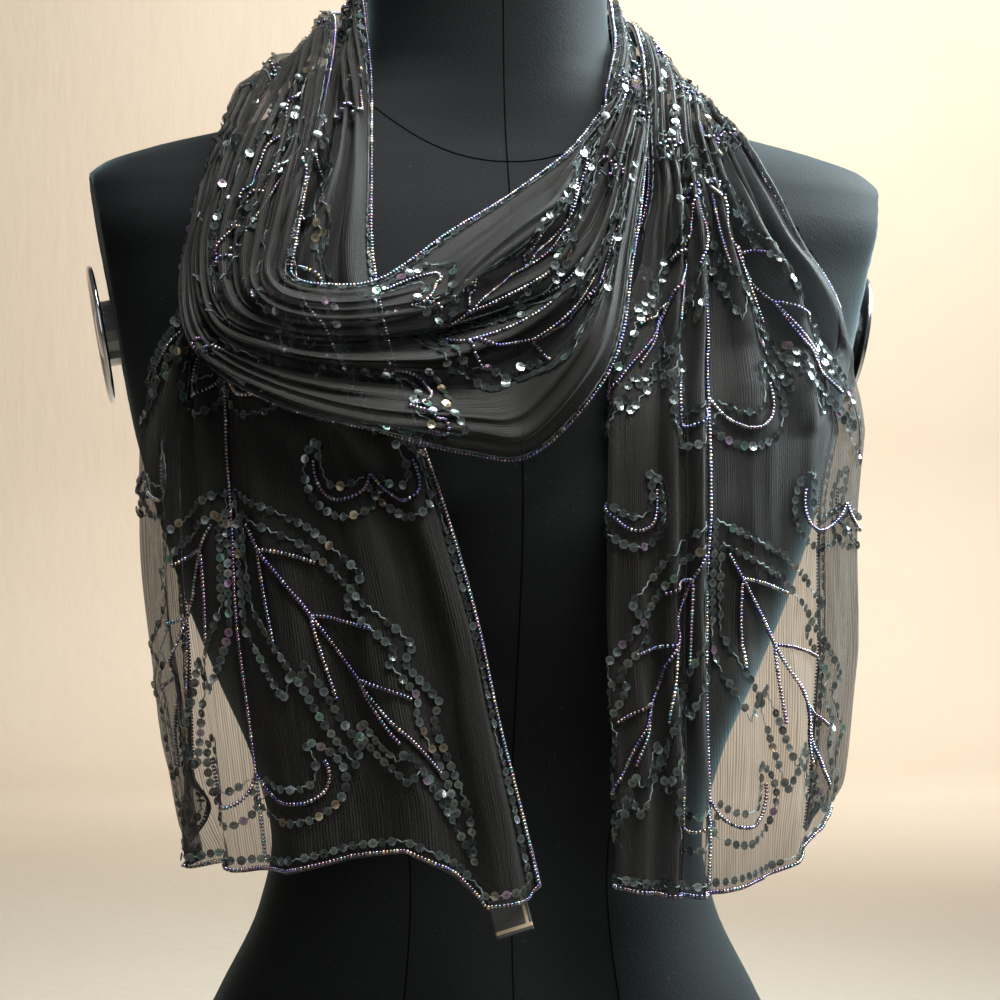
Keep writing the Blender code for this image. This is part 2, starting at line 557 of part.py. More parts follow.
def disc(centre, axis, radius, height, segments, chamfer):
    """Round plate whose lower face is centred on centre and that rises along axis."""
    axis = axis / np.linalg.norm(axis)
    first = np.cross(axis, np.array([0.0, 0.0, 1.0]))
    first /= np.linalg.norm(first)
    second = np.cross(axis, first)
    levels = ((0.0, radius), (height - chamfer, radius), (height, radius - chamfer))
    rings = []
    for rise, r in levels:
        ring = []
        for k in range(segments):
            angle = 2 * math.pi * k / segments
            out = math.cos(angle) * first + math.sin(angle) * second
            ring.append(tuple(centre + axis * rise + out * r))
        rings.append(ring)
    return loft(rings)


def build_form():
    """Padded body, base board and the plates at the armholes."""
    jersey = material("black_jersey", (0.012, 0.014, 0.014), 0.85)
    board = material("dark_board", (0.035, 0.022, 0.014), 0.6)
    chrome = material("bright_chrome", (0.80, 0.80, 0.82), 0.12, 1.0)
    boss_metal = material("arm_boss_metal", (0.45, 0.45, 0.46), 0.35, 1.0)
    rings = [form_ring(z) for z in FORM_RING_HEIGHTS]
    rings.append(form_ring(FORM_TOP, 1 - FORM_TOP_ROUND / 0.058))
    solid("form_body", *loft(rings), jersey)
    foot = FORM[0]
    inset = 1 - BOARD_INSET / foot.half_width
    bottom = [(x, y, 0.0) for x, y, _ in form_ring(foot.z, inset)]
    top = [(x, y, FORM_FOOT) for x, y, _ in form_ring(foot.z, inset)]
    solid("form_base_board", *loft([bottom, top]), board)
    for side, label in ((-1.0, "right"), (1.0, "left")):
        normal = arm_normal(side)
        corner = np.array([side * ARM_PLANE_POINT[0], ARM_PLANE_POINT[1], ARM_PLANE_POINT[2]])
        seat = np.array([0.0, ARM_CENTRE_Y, ARM_CENTRE_Z])
        seat[0] = corner[0] - (normal[1:] @ (seat[1:] - corner[1:])) / normal[0]
        boss = disc(seat, normal, ARM_BOSS_RADIUS, ARM_BOSS_HEIGHT, 20, 0.0004)
        solid("arm_boss_" + label, *boss, boss_metal)
        face = seat + normal * ARM_BOSS_HEIGHT
        plate = disc(face, normal, ARM_PLATE_RADIUS, ARM_PLATE_HEIGHT, 32, 0.0008)
        solid("arm_plate_" + label, *plate, chrome)


def wall_stations(first_row, steps, first, last):
    """Stations of one stretch: the table's sections and even steps between them."""
    stations = [STATION[first_row]]
    for k, count in enumerate(steps):
        row = first_row + k
        step = (STATION[row + 1] - STATION[row]) / count
        stations += [STATION[row] + step * (j + 1) for j in range(count)]
    if not first:
        stations[0] += PIECE_GAP / 2
    if not last:
        stations[-1] -= PIECE_GAP / 2
    return np.array(stations)


def build_stole():
    """The six stretches of the strip, each a thin wall of its own."""
    first_row = 0
    grids = []
    for k, steps in enumerate(STEPS):
        last = k == len(STEPS) - 1
        stations = wall_stations(first_row, steps, k == 0, last)
        grid = strip_points(stations)
        if last:
            grid = raise_hem(grid, stations)
        grids.append(grid)
        first_row += len(steps)
    for name, grid, normal in zip(STRETCH_NAMES, grids, cloth_normals(grids)):
        silk = material(name + "_silk", (0.016, 0.015, 0.014), 0.55)
        solid(name, *thicken(grid, normal, WALL), silk)


def build_label():
    """Plain woven label sewn behind the hem corner."""
    weave = material("label_weave", (0.020, 0.020, 0.020), 0.8)
    level = np.array([math.cos(LABEL_TURN), math.sin(LABEL_TURN), 0.0])
    upright = np.array([0.0, 0.0, 1.0])
    across = level * math.cos(LABEL_TILT) + upright * math.sin(LABEL_TILT)
    along = upright * math.cos(LABEL_TILT) - level * math.sin(LABEL_TILT)
    back = np.array([-math.sin(LABEL_TURN), math.cos(LABEL_TURN), 0.0]) * LABEL_THICKNESS / 2
    side = across * LABEL_WIDTH / 2
    rings = []
    for share in (-0.5, 0.5):
        centre = np.array(LABEL_CENTRE) + along * share * LABEL_HEIGHT
        corners = (-side - back, side - back, side + back, -side + back)
        rings.append([tuple(centre + corner) for corner in corners])
    solid("stole_label", *loft(rings), weave)


def centre_on_origin():
    """Moves every piece alike, so that the middle of the whole part's box is over the origin."""
    meshes = [obj.data for obj in bpy.data.objects]
    points = np.array([tuple(v.co) for mesh in meshes for v in mesh.vertices])
    middle = (points.min(axis=0) + points.max(axis=0)) / 2
    for mesh in meshes:
        for v in mesh.vertices:
            v.co.x -= middle[0]
            v.co.y -= middle[1]
        mesh.update()


def main():
    """Builds the whole part in an empty scene."""
    for obj in list(bpy.data.objects):
        bpy.data.objects.remove(obj)
    build_form()
    build_stole()
    build_label()
    centre_on_origin()


main()
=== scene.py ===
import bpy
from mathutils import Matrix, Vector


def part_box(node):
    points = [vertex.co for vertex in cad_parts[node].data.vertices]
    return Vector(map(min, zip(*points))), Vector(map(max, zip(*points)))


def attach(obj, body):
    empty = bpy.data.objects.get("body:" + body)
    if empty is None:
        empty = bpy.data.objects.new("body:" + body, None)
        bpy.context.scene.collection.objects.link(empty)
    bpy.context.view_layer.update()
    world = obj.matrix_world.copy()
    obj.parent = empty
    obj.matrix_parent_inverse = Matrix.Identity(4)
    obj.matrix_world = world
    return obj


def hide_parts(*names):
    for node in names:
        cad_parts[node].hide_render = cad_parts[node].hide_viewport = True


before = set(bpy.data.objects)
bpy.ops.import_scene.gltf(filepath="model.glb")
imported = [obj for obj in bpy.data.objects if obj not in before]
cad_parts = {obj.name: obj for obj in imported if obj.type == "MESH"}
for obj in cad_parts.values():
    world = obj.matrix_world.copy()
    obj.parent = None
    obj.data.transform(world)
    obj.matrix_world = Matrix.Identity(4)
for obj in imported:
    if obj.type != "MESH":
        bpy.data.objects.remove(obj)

"""Looks of the evening stole on its dress form.

The cloth is one strip whose sections are given by a short table, as in the part's source, only
finer. The bead and sequin work is laid out flat on the strip, in metres along it and across it,
and then carried onto the worn cloth.
"""

import logging
import math
from dataclasses import dataclass, field
from enum import Enum
from typing import Any, Callable, Iterable, Sequence

import bpy
import numpy as np

log = logging.getLogger("evening_stole")
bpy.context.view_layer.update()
Array = np.ndarray


# Curves and small helpers
def smooth_step(t: Array) -> Array:
    """0 before 0, 1 after 1, and 3 t squared less 2 t cubed between."""
    t = np.clip(t, 0.0, 1.0)
    return t * t * (3 - 2 * t)


def hermite(x: Array, y: Array, slopes: Array, at: Array) -> Array:
    """Cubic pieces with values y and slopes at the knots x.

    Args:
        x: Rising knots.
        y: One row of values for each knot.
        slopes: One row of slopes for each knot.
        at: Places to work the curve out at, any shape.

    Returns:
        Values with the shape of at and one more axis.
    """
    flat = np.clip(np.asarray(at, dtype=float).ravel(), x[0], x[-1])
    i = np.clip(np.searchsorted(x, flat, side="right") - 1, 0, len(x) - 2)
    h = (x[i + 1] - x[i])[:, None]
    t = (flat - x[i])[:, None] / h
    value = (2 * t**3 - 3 * t**2 + 1) * y[i] + (t**3 - 2 * t**2 + t) * h * slopes[i]
    value = value + (3 * t**2 - 2 * t**3) * y[i + 1] + (t**3 - t**2) * h * slopes[i + 1]
    return value.reshape(np.shape(at) + (y.shape[1],))


def cubic_through(x: Array, y: Array, at: Array) -> Array:
    """Smooth curve through the rows y at x; each slope is the weighted mean of its neighbours'."""
    step = np.diff(x)[:, None]
    slope = np.diff(y, axis=0) / step
    m = np.empty_like(y)
    m[1:-1] = (slope[:-1] * step[1:] + slope[1:] * step[:-1]) / (step[1:] + step[:-1])
    m[0] = slope[0]
    m[-1] = slope[-1]
    return hermite(x, y, m, at)


def steady_cubic_through(x: Array, y: Array, at: Array) -> Array:
    """Smooth curve through the rows y at x that never swings past a row (harmonic mean slopes)."""
    step = np.diff(x)[:, None]
    slope = np.diff(y, axis=0) / step
    m = np.zeros_like(y)
    same = slope[:-1] * slope[1:] > 0
    total = np.where(same, slope[:-1] + slope[1:], 1.0)
    m[1:-1] = np.where(same, 2 * slope[:-1] * slope[1:] / total, 0.0)
    m[0] = slope[0]
    m[-1] = slope[-1]
    return hermite(x, y, m, at)


def curve_through(points: Sequence[Sequence[float]], count: int) -> Array:
    """Smooth curve through the points, timed by the distance between them.

    Args:
        points: Points of two or three numbers each.
        count: How many points to return.

    Returns:
        Points evenly spaced along the timing, from the first to the last.
    """
    rows = np.array(points, dtype=float)
    time = np.concatenate([[0.0], np.cumsum(np.linalg.norm(np.diff(rows, axis=0), axis=1))])
    return cubic_through(time, rows, np.linspace(0, time[-1], count))


def running_sum(values: Array, step: float) -> Array:
    """Sum along the second axis by the trapezium rule, starting at 0."""
    inner = np.cumsum((values[:, 1:] + values[:, :-1]) / 2, axis=1) * step
    return np.concatenate([np.zeros((len(values), 1)), inner], axis=1)


def interpolate_rows(at: Array, knots: Array, values: Array) -> Array:
    """Straight-line interpolation, row by row, carried on past both ends.

    Args:
        at: Places, one row for each row of knots.
        knots: Rising knots, one row each.
        values: Values at the knots, with one more axis if they are vectors.

    Returns:
        The values at those places.
    """
    i = (at[:, :, None] >= knots[:, None, 1:-1]).sum(axis=-1)
    low = np.take_along_axis(knots, i, axis=1)
    high = np.take_along_axis(knots, i + 1, axis=1)
    t = (at - low) / (high - low)
    if values.ndim == 3:
        row = np.arange(len(at))[:, None]
        return values[row, i] * (1 - t[..., None]) + values[row, i + 1] * t[..., None]
    first = np.take_along_axis(values, i, axis=1)
    second = np.take_along_axis(values, i + 1, axis=1)
    return first * (1 - t) + second * t


def unit(vectors: Array) -> Array:
    """Vectors scaled to length 1."""
    return vectors / np.maximum(np.linalg.norm(vectors, axis=-1, keepdims=True), 1e-12)


# Meshes
def grid_faces(rows: int, cols: int, wrap: bool = False) -> Array:
    """Quads of a grid of points, counted row by row.

    Args:
        rows: Number of rows.
        cols: Number of points in each row.
        wrap: Whether the last column joins the first.

    Returns:
        One row of four point numbers for each quad.
    """
    j = np.arange(rows - 1)[:, None]
    k = np.arange(cols if wrap else cols - 1)[None, :]
    right = (k + 1) % cols
    quads = np.stack([j * cols + k, j * cols + right, (j + 1) * cols + right, (j + 1) * cols + k], -1)
    return quads.reshape(-1, 4)


def make_piece(
    name: str,
    points: Array,
    faces: Sequence[Array],
    finish: bpy.types.Material,
    uv: Array | None = None,
    tint: Array | None = None,
    smooth: bool = True,
) -> bpy.types.Object:
    """Object at the origin with its place in its mesh.

    Args:
        name: The object's name.
        points: Points in the row frame, in metres.
        faces: One array for each number of corners.
        finish: Its material.
        uv: Pattern place of each point, or None.
        tint: Red, green, blue and cover of each point, or None.
        smooth: False for facets.

    Returns:
        The new object.
    """
    mesh = bpy.data.meshes.new(name)
    corners = np.concatenate([np.asarray(f).ravel() for f in faces]).astype(np.int32)
    sizes = np.concatenate([np.full(len(f), np.shape(f)[1]) for f in faces])
    starts = np.concatenate([[0], np.cumsum(sizes)[:-1]]).astype(np.int32)
    mesh.vertices.add(len(points))
    mesh.vertices.foreach_set("co", np.asarray(points, dtype=np.float32).ravel())
    mesh.loops.add(len(corners))
    mesh.loops.foreach_set("vertex_index", corners)
    mesh.polygons.add(len(starts))
    mesh.polygons.foreach_set("loop_start", starts)
    mesh.polygons.foreach_set("use_smooth", np.full(len(starts), smooth))
    mesh.update(calc_edges=True)
    if uv is not None:
        layer = mesh.uv_layers.new(name="lay")
        layer.uv.foreach_set("vector", np.asarray(uv, dtype=np.float32)[corners].ravel())
    if tint is not None:
        colours = mesh.color_attributes.new(name="tint", type="FLOAT_COLOR", domain="POINT")
        colours.data.foreach_set("color", np.asarray(tint, dtype=np.float32).ravel())
    mesh.materials.append(finish)
    mesh.validate()
    piece = bpy.data.objects.new(name, mesh)
    bpy.context.scene.collection.objects.link(piece)
    return piece


def tube(path: Array, outward: Array, radius: float, sides: int) -> tuple[Array, list[Array]]:
    """Closed round tube: at each point of the path a ring of the radius times cos and sin.

    Args:
        path: Points along the middle.
        outward: A direction off the surface at each point.
        radius: Its radius.
        sides: Number of points in each ring.

    Returns:
        Points and faces, the ends closed.
    """
    ahead = unit(np.gradient(path, axis=0))
    side = unit(np.cross(outward, ahead))
    up = np.cross(ahead, side)
    angle = np.linspace(0, 2 * np.pi, sides, endpoint=False)[None, :, None]
    ring = np.cos(angle) * side[:, None] + np.sin(angle) * up[:, None]
    points = (path[:, None] + radius * ring).reshape(-1, 3)
    count = len(path)
    first = np.arange(sides)[None, ::-1]
    last = (count - 1) * sides + np.arange(sides)[None, :]
    return points, [grid_faces(count, sides, wrap=True)[:, ::-1], first[:, ::-1], last[:, ::-1]]


def closed_ring_tube(path: Array, outward: Array, radius: float, sides: int) -> tuple[Array, list[Array]]:
    """Round tube along a closed path, with the same rings as tube and no ends."""
    ahead = unit(np.roll(path, -1, axis=0) - np.roll(path, 1, axis=0))
    side = unit(np.cross(outward, ahead))
    up = np.cross(ahead, side)
    angle = np.linspace(0, 2 * np.pi, sides, endpoint=False)[None, :, None]
    ring = np.cos(angle) * side[:, None] + np.sin(angle) * up[:, None]
    points = (path[:, None] + radius * ring).reshape(-1, 3)
    faces = grid_faces(len(path) + 1, sides, wrap=True)[:, ::-1] % len(points)
    return points, [faces]


def join_parts(parts: Iterable[tuple[Array, list[Array]]]) -> tuple[Array, list[Array]]:
    """One set of points and faces from several."""
    points: list[Array] = []
    faces: dict[int, list[Array]] = {}
    start = 0
    for part_points, part_faces in parts:
        for block in part_faces:
            faces.setdefault(np.shape(block)[1], []).append(np.asarray(block) + start)
        points.append(part_points)
        start += len(part_points)
    return np.concatenate(points), [np.concatenate(blocks) for blocks in faces.values()]


# Shader nodes
class Value:
    """A shader socket that takes part in Python sums, each one a Math node."""

    def __init__(self, board: "NodeBoard", socket: bpy.types.NodeSocket) -> None:
        """Wraps the socket."""
        self.board = board
        self.socket = socket

    def _math(self, operation: str, first: Any, second: Any) -> "Value":
        """One Math node of that operation."""
        return self.board.node("ShaderNodeMath", {"operation": operation}, {0: first, 1: second})

    def __add__(self, other: Any) -> "Value":
        """This plus other."""
        return self._math("ADD", self, other)

    def __radd__(self, other: Any) -> "Value":
        """Other plus this."""
        return self._math("ADD", other, self)

    def __sub__(self, other: Any) -> "Value":
        """This less other."""
        return self._math("SUBTRACT", self, other)

    def __rsub__(self, other: Any) -> "Value":
        """Other less this."""
        return self._math("SUBTRACT", other, self)

    def __mul__(self, other: Any) -> "Value":
        """This times other."""
        return self._math("MULTIPLY", self, other)

    def __rmul__(self, other: Any) -> "Value":
        """Other times this."""
        return self._math("MULTIPLY", other, self)

    def __gt__(self, other: Any) -> "Value":
        """1 where this is larger than other, else 0."""
        return self._math("GREATER_THAN", self, other)

    def limited(self, low: float, high: float) -> "Value":
        """This, kept between low and high."""
        return self._math("MINIMUM", self._math("MAXIMUM", self, low), high)


class NodeBoard:
    """The nodes of one material."""

    def __init__(self, name: str) -> None:
        """Starts a material of that name with its Principled shader."""
        self.material = bpy.data.materials.new(name)
        self.material.use_nodes = True
        self.tree = self.material.node_tree
        self.shader = self.tree.nodes["Principled BSDF"]

    def node(
        self, kind: str, settings: dict[str, Any], sockets: dict[Any, Any], output: Any = 0
    ) -> Value:
        """Adds any node.

        Args:
            kind: The node's type.
            settings: Its properties, and under "stops" a ramp's places and colours.
            sockets: Values or links of its inputs, by name or number.
            output: The output to return, by name or number.

        Returns:
            That output as a value.
        """
        new = self.tree.nodes.new(kind)
        for key, setting in settings.items():
            if key == "stops":
                ramp = new.color_ramp.elements
                while len(ramp) < len(setting):
                    ramp.new(0.5)
                for stop, (place, colour) in zip(ramp, setting):
                    stop.position = place
                    stop.color = (*colour, 1.0)
            else:
                setattr(new, key, setting)
        for key, value in sockets.items():
            self.feed(new.inputs[key], value)
        return Value(self, new.outputs[output])

    def feed(self, socket: bpy.types.NodeSocket, value: Any) -> None:
        """Links a value to the socket, or sets it on the socket itself."""
        if isinstance(value, Value):
            self.tree.links.new(value.socket, socket)
        else:
            socket.default_value = value

    def shade(self, **sockets: Any) -> bpy.types.Material:
        """Feeds the Principled shader; spaces in its socket names are written as underscores."""
        for key, value in sockets.items():
            self.feed(self.shader.inputs[key.replace("_", " ")], value)
        return self.material

    def place_on_piece(self) -> Value:
        """Object coordinates, in metres."""
        return self.node("ShaderNodeTexCoord", {}, {}, "Object")

    def lay(self, across: float, along: float) -> Value:
        """The cloth's own pattern place, scaled across and along."""
        spot = self.node("ShaderNodeUVMap", {"uv_map": "lay"}, {})
        return self.node(
            "ShaderNodeVectorMath", {"operation": "MULTIPLY"}, {0: spot, 1: (across, along, 1.0)}
        )

    def stretched(self, place: Value, scale: tuple[float, float, float]) -> Value:
        """A place multiplied by a scale in each direction."""
        return self.node("ShaderNodeVectorMath", {"operation": "MULTIPLY"}, {0: place, 1: scale})

    def noise(self, place: Value, scale: float, detail: float = 3.0, rough: float = 0.5) -> Value:
        """Noise from 0 to 1."""
        return self.node(
            "ShaderNodeTexNoise",
            {"noise_dimensions": "3D"},
            {"Vector": place, "Scale": scale, "Detail": detail, "Roughness": rough},
            "Fac",
        )

    def blend(self, share: Any, first: Any, second: Any) -> Value:
        """Colour between first and second."""
        sockets = {"Factor": share, 6: first, 7: second}
        return self.node("ShaderNodeMix", {"data_type": "RGBA"}, sockets, 2)

    def bump(self, height: Value, strength: float, distance: float) -> Value:
        """Surface relief of that height."""
        sockets = {"Strength": strength, "Distance": distance, "Height": height}
        return self.node("ShaderNodeBump", {}, sockets)


# Finishes
@dataclass(frozen=True)
class CrinkledSilk:
    """Sheer black silk with fine crinkles along its length."""

    cover: float = 0.59
    cover_swing: float = 0.42
    # dark and pale are the tones of the crinkles' hollows and crests: partly the threads' own streaks, partly
    # painted shade in the hollows and a painted highlight on the crests.
    dark: tuple = (0.0035, 0.0035, 0.0033, 1.0)
    pale: tuple = (0.030, 0.028, 0.0245, 1.0)
    crinkle: float = 0.5
    crinkle_pitch: float = 0.0014

    def build(self, name: str) -> bpy.types.Material:
        """Makes the material: thread streaks set the cover and the relief, and the tone is paler on the crinkles'
        crests and darker in their hollows, partly the threads' own streaks and partly painted highlight and painted
        shade.
        """
        board = NodeBoard(name)
        broad = board.noise(board.lay(0.29 / 0.0048, 1.88 / 0.120), 1.0, 3.0, 0.6)
        fine = board.noise(board.lay(0.29 / 0.0013, 1.88 / 0.032), 1.0, 2.0, 0.5)
        waved = board.node(
            "ShaderNodeTexWave", {"wave_type": "BANDS", "bands_direction": "X"},
            {"Vector": board.lay(0.29 / self.crinkle_pitch * math.pi / 10, 1.88 / 0.035),
             "Scale": 1.0, "Distortion": 5.0, "Detail": 2.0, "Detail Scale": 0.8},
            "Fac",
        )
        streak = ((0.25 * broad + 0.40 * fine + 0.35 * waved - 0.5) * 1.9 + 0.5).limited(0.0, 1.0)
        cover = (streak - 0.5) * self.cover_swing + self.cover
        # Painted highlight and shade: the tone follows the streak that also raises the relief, pale on the crests
        # and dark in the hollows.
        tone = board.blend(streak, self.dark, self.pale)
        return board.shade(
            Base_Color=tone,
            Alpha=cover.limited(0.12, 0.9),
            Roughness=0.62,
            Sheen_Weight=0.10,
            Sheen_Roughness=0.4,
            Sheen_Tint=(0.62, 0.62, 0.58, 1.0),
            Specular_IOR_Level=0.25,
            Normal=board.bump(streak, self.crinkle, 0.0005),
        )


@dataclass(frozen=True)
class SeedBeadGlass:
    """Dark glass with an oily rainbow coat; each bead has its own tint."""

    def build(self, name: str) -> bpy.types.Material:
        """Makes the material from the piece's tint."""
        board = NodeBoard(name)
        tint = board.node("ShaderNodeAttribute", {"attribute_name": "tint"}, {}, "Color")
        return board.shade(
            Base_Color=tint, Metallic=0.85, Roughness=0.17, Coat_Weight=1.0, Coat_Roughness=0.06
        )


@dataclass(frozen=True)
class SmokySequin:
    """Thin smoky film, clearer toward the stitched middle."""

    def build(self, name: str) -> bpy.types.Material:
        """Makes the material from the piece's tint and its cover."""
        board = NodeBoard(name)
        tint = board.node("ShaderNodeAttribute", {"attribute_name": "tint"}, {}, "Color")
        cover = board.node("ShaderNodeAttribute", {"attribute_name": "tint"}, {}, "Alpha")
        return board.shade(
            Base_Color=tint, Alpha=cover, Metallic=0.75, Roughness=0.2, Coat_Weight=0.4,
            Coat_Roughness=0.08,
        )


@dataclass(frozen=True)
class SewingThread:
    """Twisted thread."""

    colour: tuple = (0.150, 0.215, 0.210, 1.0)
    shadow: tuple = (0.060, 0.092, 0.092, 1.0)
    bloom: float = 0.3
    gloss: float = 0.4

    def build(self, name: str) -> bpy.types.Material:
        """Makes the material: uneven dye along the thread and a fine twist."""
        board = NodeBoard(name)
        place = board.place_on_piece()
        uneven = board.noise(place, 900.0, 2.0)
        return board.shade(
            Base_Color=board.blend(uneven, self.shadow, self.colour),
            Roughness=0.6,
            Sheen_Weight=self.bloom,
            Specular_IOR_Level=self.gloss,
            Normal=board.bump(board.noise(place, 4000.0, 1.0), 0.4, 0.0002),
        )


@dataclass(frozen=True)
class StretchJersey:
    """Fine knitted cover of the dress form."""

    colour: tuple = (0.0030, 0.0036, 0.0040, 1.0)
    worn: tuple = (0.0065, 0.0076, 0.0082, 1.0)

    def build(self, name: str) -> bpy.types.Material:
        """Makes the material: knit ribs, a dull bloom and a little lint."""
        board = NodeBoard(name)
        place = board.place_on_piece()
        knit = board.noise(board.stretched(place, (1600.0, 1600.0, 900.0)), 1.0, 2.0)
        bloom = board.noise(place, 22.0, 4.0, 0.6)
        lint = board.noise(place, 420.0, 1.0) > 0.74
        tone = board.blend((bloom * 0.7 + knit * 0.3).limited(0.0, 1.0), self.colour, self.worn)
        return board.shade(
            Base_Color=board.blend(lint * 0.20, tone, (0.06, 0.06, 0.058, 1.0)),
            Roughness=0.78,
            Sheen_Weight=0.36,
            Sheen_Roughness=0.22,
            Sheen_Tint=(0.50, 0.74, 0.80, 1.0),
            Specular_IOR_Level=0.12,
            Normal=board.bump(knit, 0.35, 0.0006),
        )


@dataclass(frozen=True)
class StainedBoard:
    """Dark stained wood with its grain along the board."""

    def build(self, name: str) -> bpy.types.Material:
        """Makes the material: stretched rings of grain and open pores."""
        board = NodeBoard(name)
        place = board.place_on_piece()
        grain = board.noise(board.stretched(place, (9.0, 70.0, 70.0)), 1.0, 5.0, 0.6)
        pores = board.noise(board.stretched(place, (120.0, 1500.0, 1500.0)), 1.0, 2.0)
        tone = board.blend(grain, (0.016, 0.009, 0.005, 1.0), (0.070, 0.040, 0.022, 1.0))
        return board.shade(
            Base_Color=tone,
            Roughness=(0.38 + pores * 0.25),
            Normal=board.bump(pores, 0.3, 0.0004),
        )


@dataclass(frozen=True)
class PolishedChrome:
    """Plated metal; roughness and handling marks vary."""

    colour: tuple = (0.80, 0.80, 0.82, 1.0)
    rough: float = 0.07
    brushed: float = 0.0

    def build(self, name: str) -> bpy.types.Material:
        """Makes the material: faint smears, and fine turning marks where brushed."""
        board = NodeBoard(name)
        place = board.place_on_piece()
        smear = board.noise(place, 60.0, 4.0, 0.6)
        marks = board.noise(board.stretched(place, (200.0, 3000.0, 3000.0)), 1.0, 2.0)
        return board.shade(
            Base_Color=self.colour,
            Metallic=1.0,
            Roughness=(smear * 0.14 + self.rough),
            Normal=board.bump(marks, 0.03 + self.brushed, 0.0002),
        )


@dataclass(frozen=True)
class WovenLabel:
    """Black label cloth with a plain tan woven border."""

    def build(self, name: str) -> bpy.types.Material:
        """Makes the material: crossed threads, and a tan band where both distances are small."""
        board = NodeBoard(name)
        spot = board.node("ShaderNodeUVMap", {"uv_map": "lay"}, {})
        parts = board.node("ShaderNodeSeparateXYZ", {}, {0: spot}, 0)
        across = Value(board, parts.socket.node.outputs["X"])
        along = Value(board, parts.socket.node.outputs["Y"])
        band_low = (along > 0.10) * (0.19 - along > 0.0)
        band_side = (across > 0.84) * (0.92 - across > 0.0) * (along > 0.10)
        weave = board.node(
            "ShaderNodeTexChecker", {}, {"Vector": spot, "Scale": 70.0}, "Fac"
        )
        tan = board.blend(weave, (0.42, 0.33, 0.20, 1.0), (0.24, 0.18, 0.10, 1.0))
        black = board.blend(weave, (0.012, 0.012, 0.012, 1.0), (0.024, 0.022, 0.022, 1.0))
        band = (band_low + band_side).limited(0.0, 1.0)
        return board.shade(
            Base_Color=board.blend(band, black, tan),
            Roughness=0.7,
            Sheen_Weight=0.3,
            Normal=board.bump(weave, 0.4, 0.0002),
        )


@dataclass(frozen=True)
class PalePlaster:
    """Plain pale studio sweep: a painted plaster wall that turns into a darker floor, the darker low sweep partly
    the floor's own colour and partly painted shade.
    """

    # floor: the floor's darker tone, which also serves as painted shade on the low bend and on the floor in front of
    # the form.
    floor: tuple = (0.16, 0.134, 0.104, 1.0)
    wall_from: float = 0.50
    colour: tuple = (0.475, 0.396, 0.306, 1.0)
    patch: tuple = (0.515, 0.444, 0.354, 1.0)

    def build(self, name: str) -> bpy.types.Material:
        """Makes the material: cloudy paint and soft trowel strokes."""
        board = NodeBoard(name)
        place = board.place_on_piece()
        cloud = board.noise(place, 5.0, 4.0, 0.6)
        strokes = board.noise(board.stretched(place, (60.0, 60.0, 14.0)), 1.0, 3.0, 0.55)
        height = board.node("ShaderNodeSeparateXYZ", {}, {0: place}, "Z")
        depth = board.node("ShaderNodeSeparateXYZ", {}, {0: place}, "Y")
        # Painted shade: the floor tone at the bottom and in front, the wall colour from wall_from up and further
        # back; the darker floor also throws less light back onto the form.
        share = (height * (1 / self.wall_from) + (depth - 0.3) * 0.65).limited(0.0, 1.0)
        painted = board.blend(cloud, self.colour, self.patch)
        return board.shade(
            Base_Color=board.blend(share, self.floor, painted),
            Roughness=0.85,
            Normal=board.bump(strokes, 0.25, 0.004),
        )


# The dress form
@dataclass(frozen=True)
class FormLevel:
    """Half width, front and back depth and squareness of the form at one height."""

    z: float
    half_width: float
    front: float
    back: float
    squareness: float


FORM_LEVELS = (
    FormLevel(0.012, 0.158, 0.099, 0.111, 2.30),
    FormLevel(0.020, 0.165, 0.105, 0.117, 2.30),
    FormLevel(0.050, 0.165, 0.107, 0.119, 2.30),
    FormLevel(0.090, 0.150, 0.101, 0.111, 2.30),
    FormLevel(0.130, 0.130, 0.092, 0.098, 2.30),
    FormLevel(0.170, 0.111, 0.084, 0.086, 2.25),
    FormLevel(0.200, 0.105, 0.081, 0.081, 2.25),
    FormLevel(0.240, 0.114, 0.086, 0.086, 2.25),
    FormLevel(0.280, 0.131, 0.098, 0.096, 2.25),
    FormLevel(0.320, 0.147, 0.111, 0.104, 2.30),
    FormLevel(0.360, 0.160, 0.119, 0.108, 2.35),
    FormLevel(0.400, 0.171, 0.116, 0.108, 2.30),
    FormLevel(0.440, 0.181, 0.104, 0.105, 2.20),
    FormLevel(0.475, 0.190, 0.091, 0.099, 2.30),
    FormLevel(0.500, 0.197, 0.081, 0.092, 2.50),
    FormLevel(0.515, 0.197, 0.074, 0.086, 2.40),
    FormLevel(0.526, 0.188, 0.069, 0.080, 2.25),
    FormLevel(0.535, 0.164, 0.065, 0.075, 2.10),
    FormLevel(0.545, 0.124, 0.062, 0.070, 2.00),
    FormLevel(0.555, 0.095, 0.060, 0.066, 2.00),
    FormLevel(0.565, 0.074, 0.0585, 0.0625, 2.00),
    FormLevel(0.578, 0.063, 0.0575, 0.0600, 2.00),
    FormLevel(0.600, 0.059, 0.0565, 0.0585, 2.00),
    FormLevel(0.640, 0.058, 0.0560, 0.0580, 2.00),
)


class Side(Enum):
    """Left and right, as signs along X."""

    RIGHT = -1.0
    LEFT = 1.0


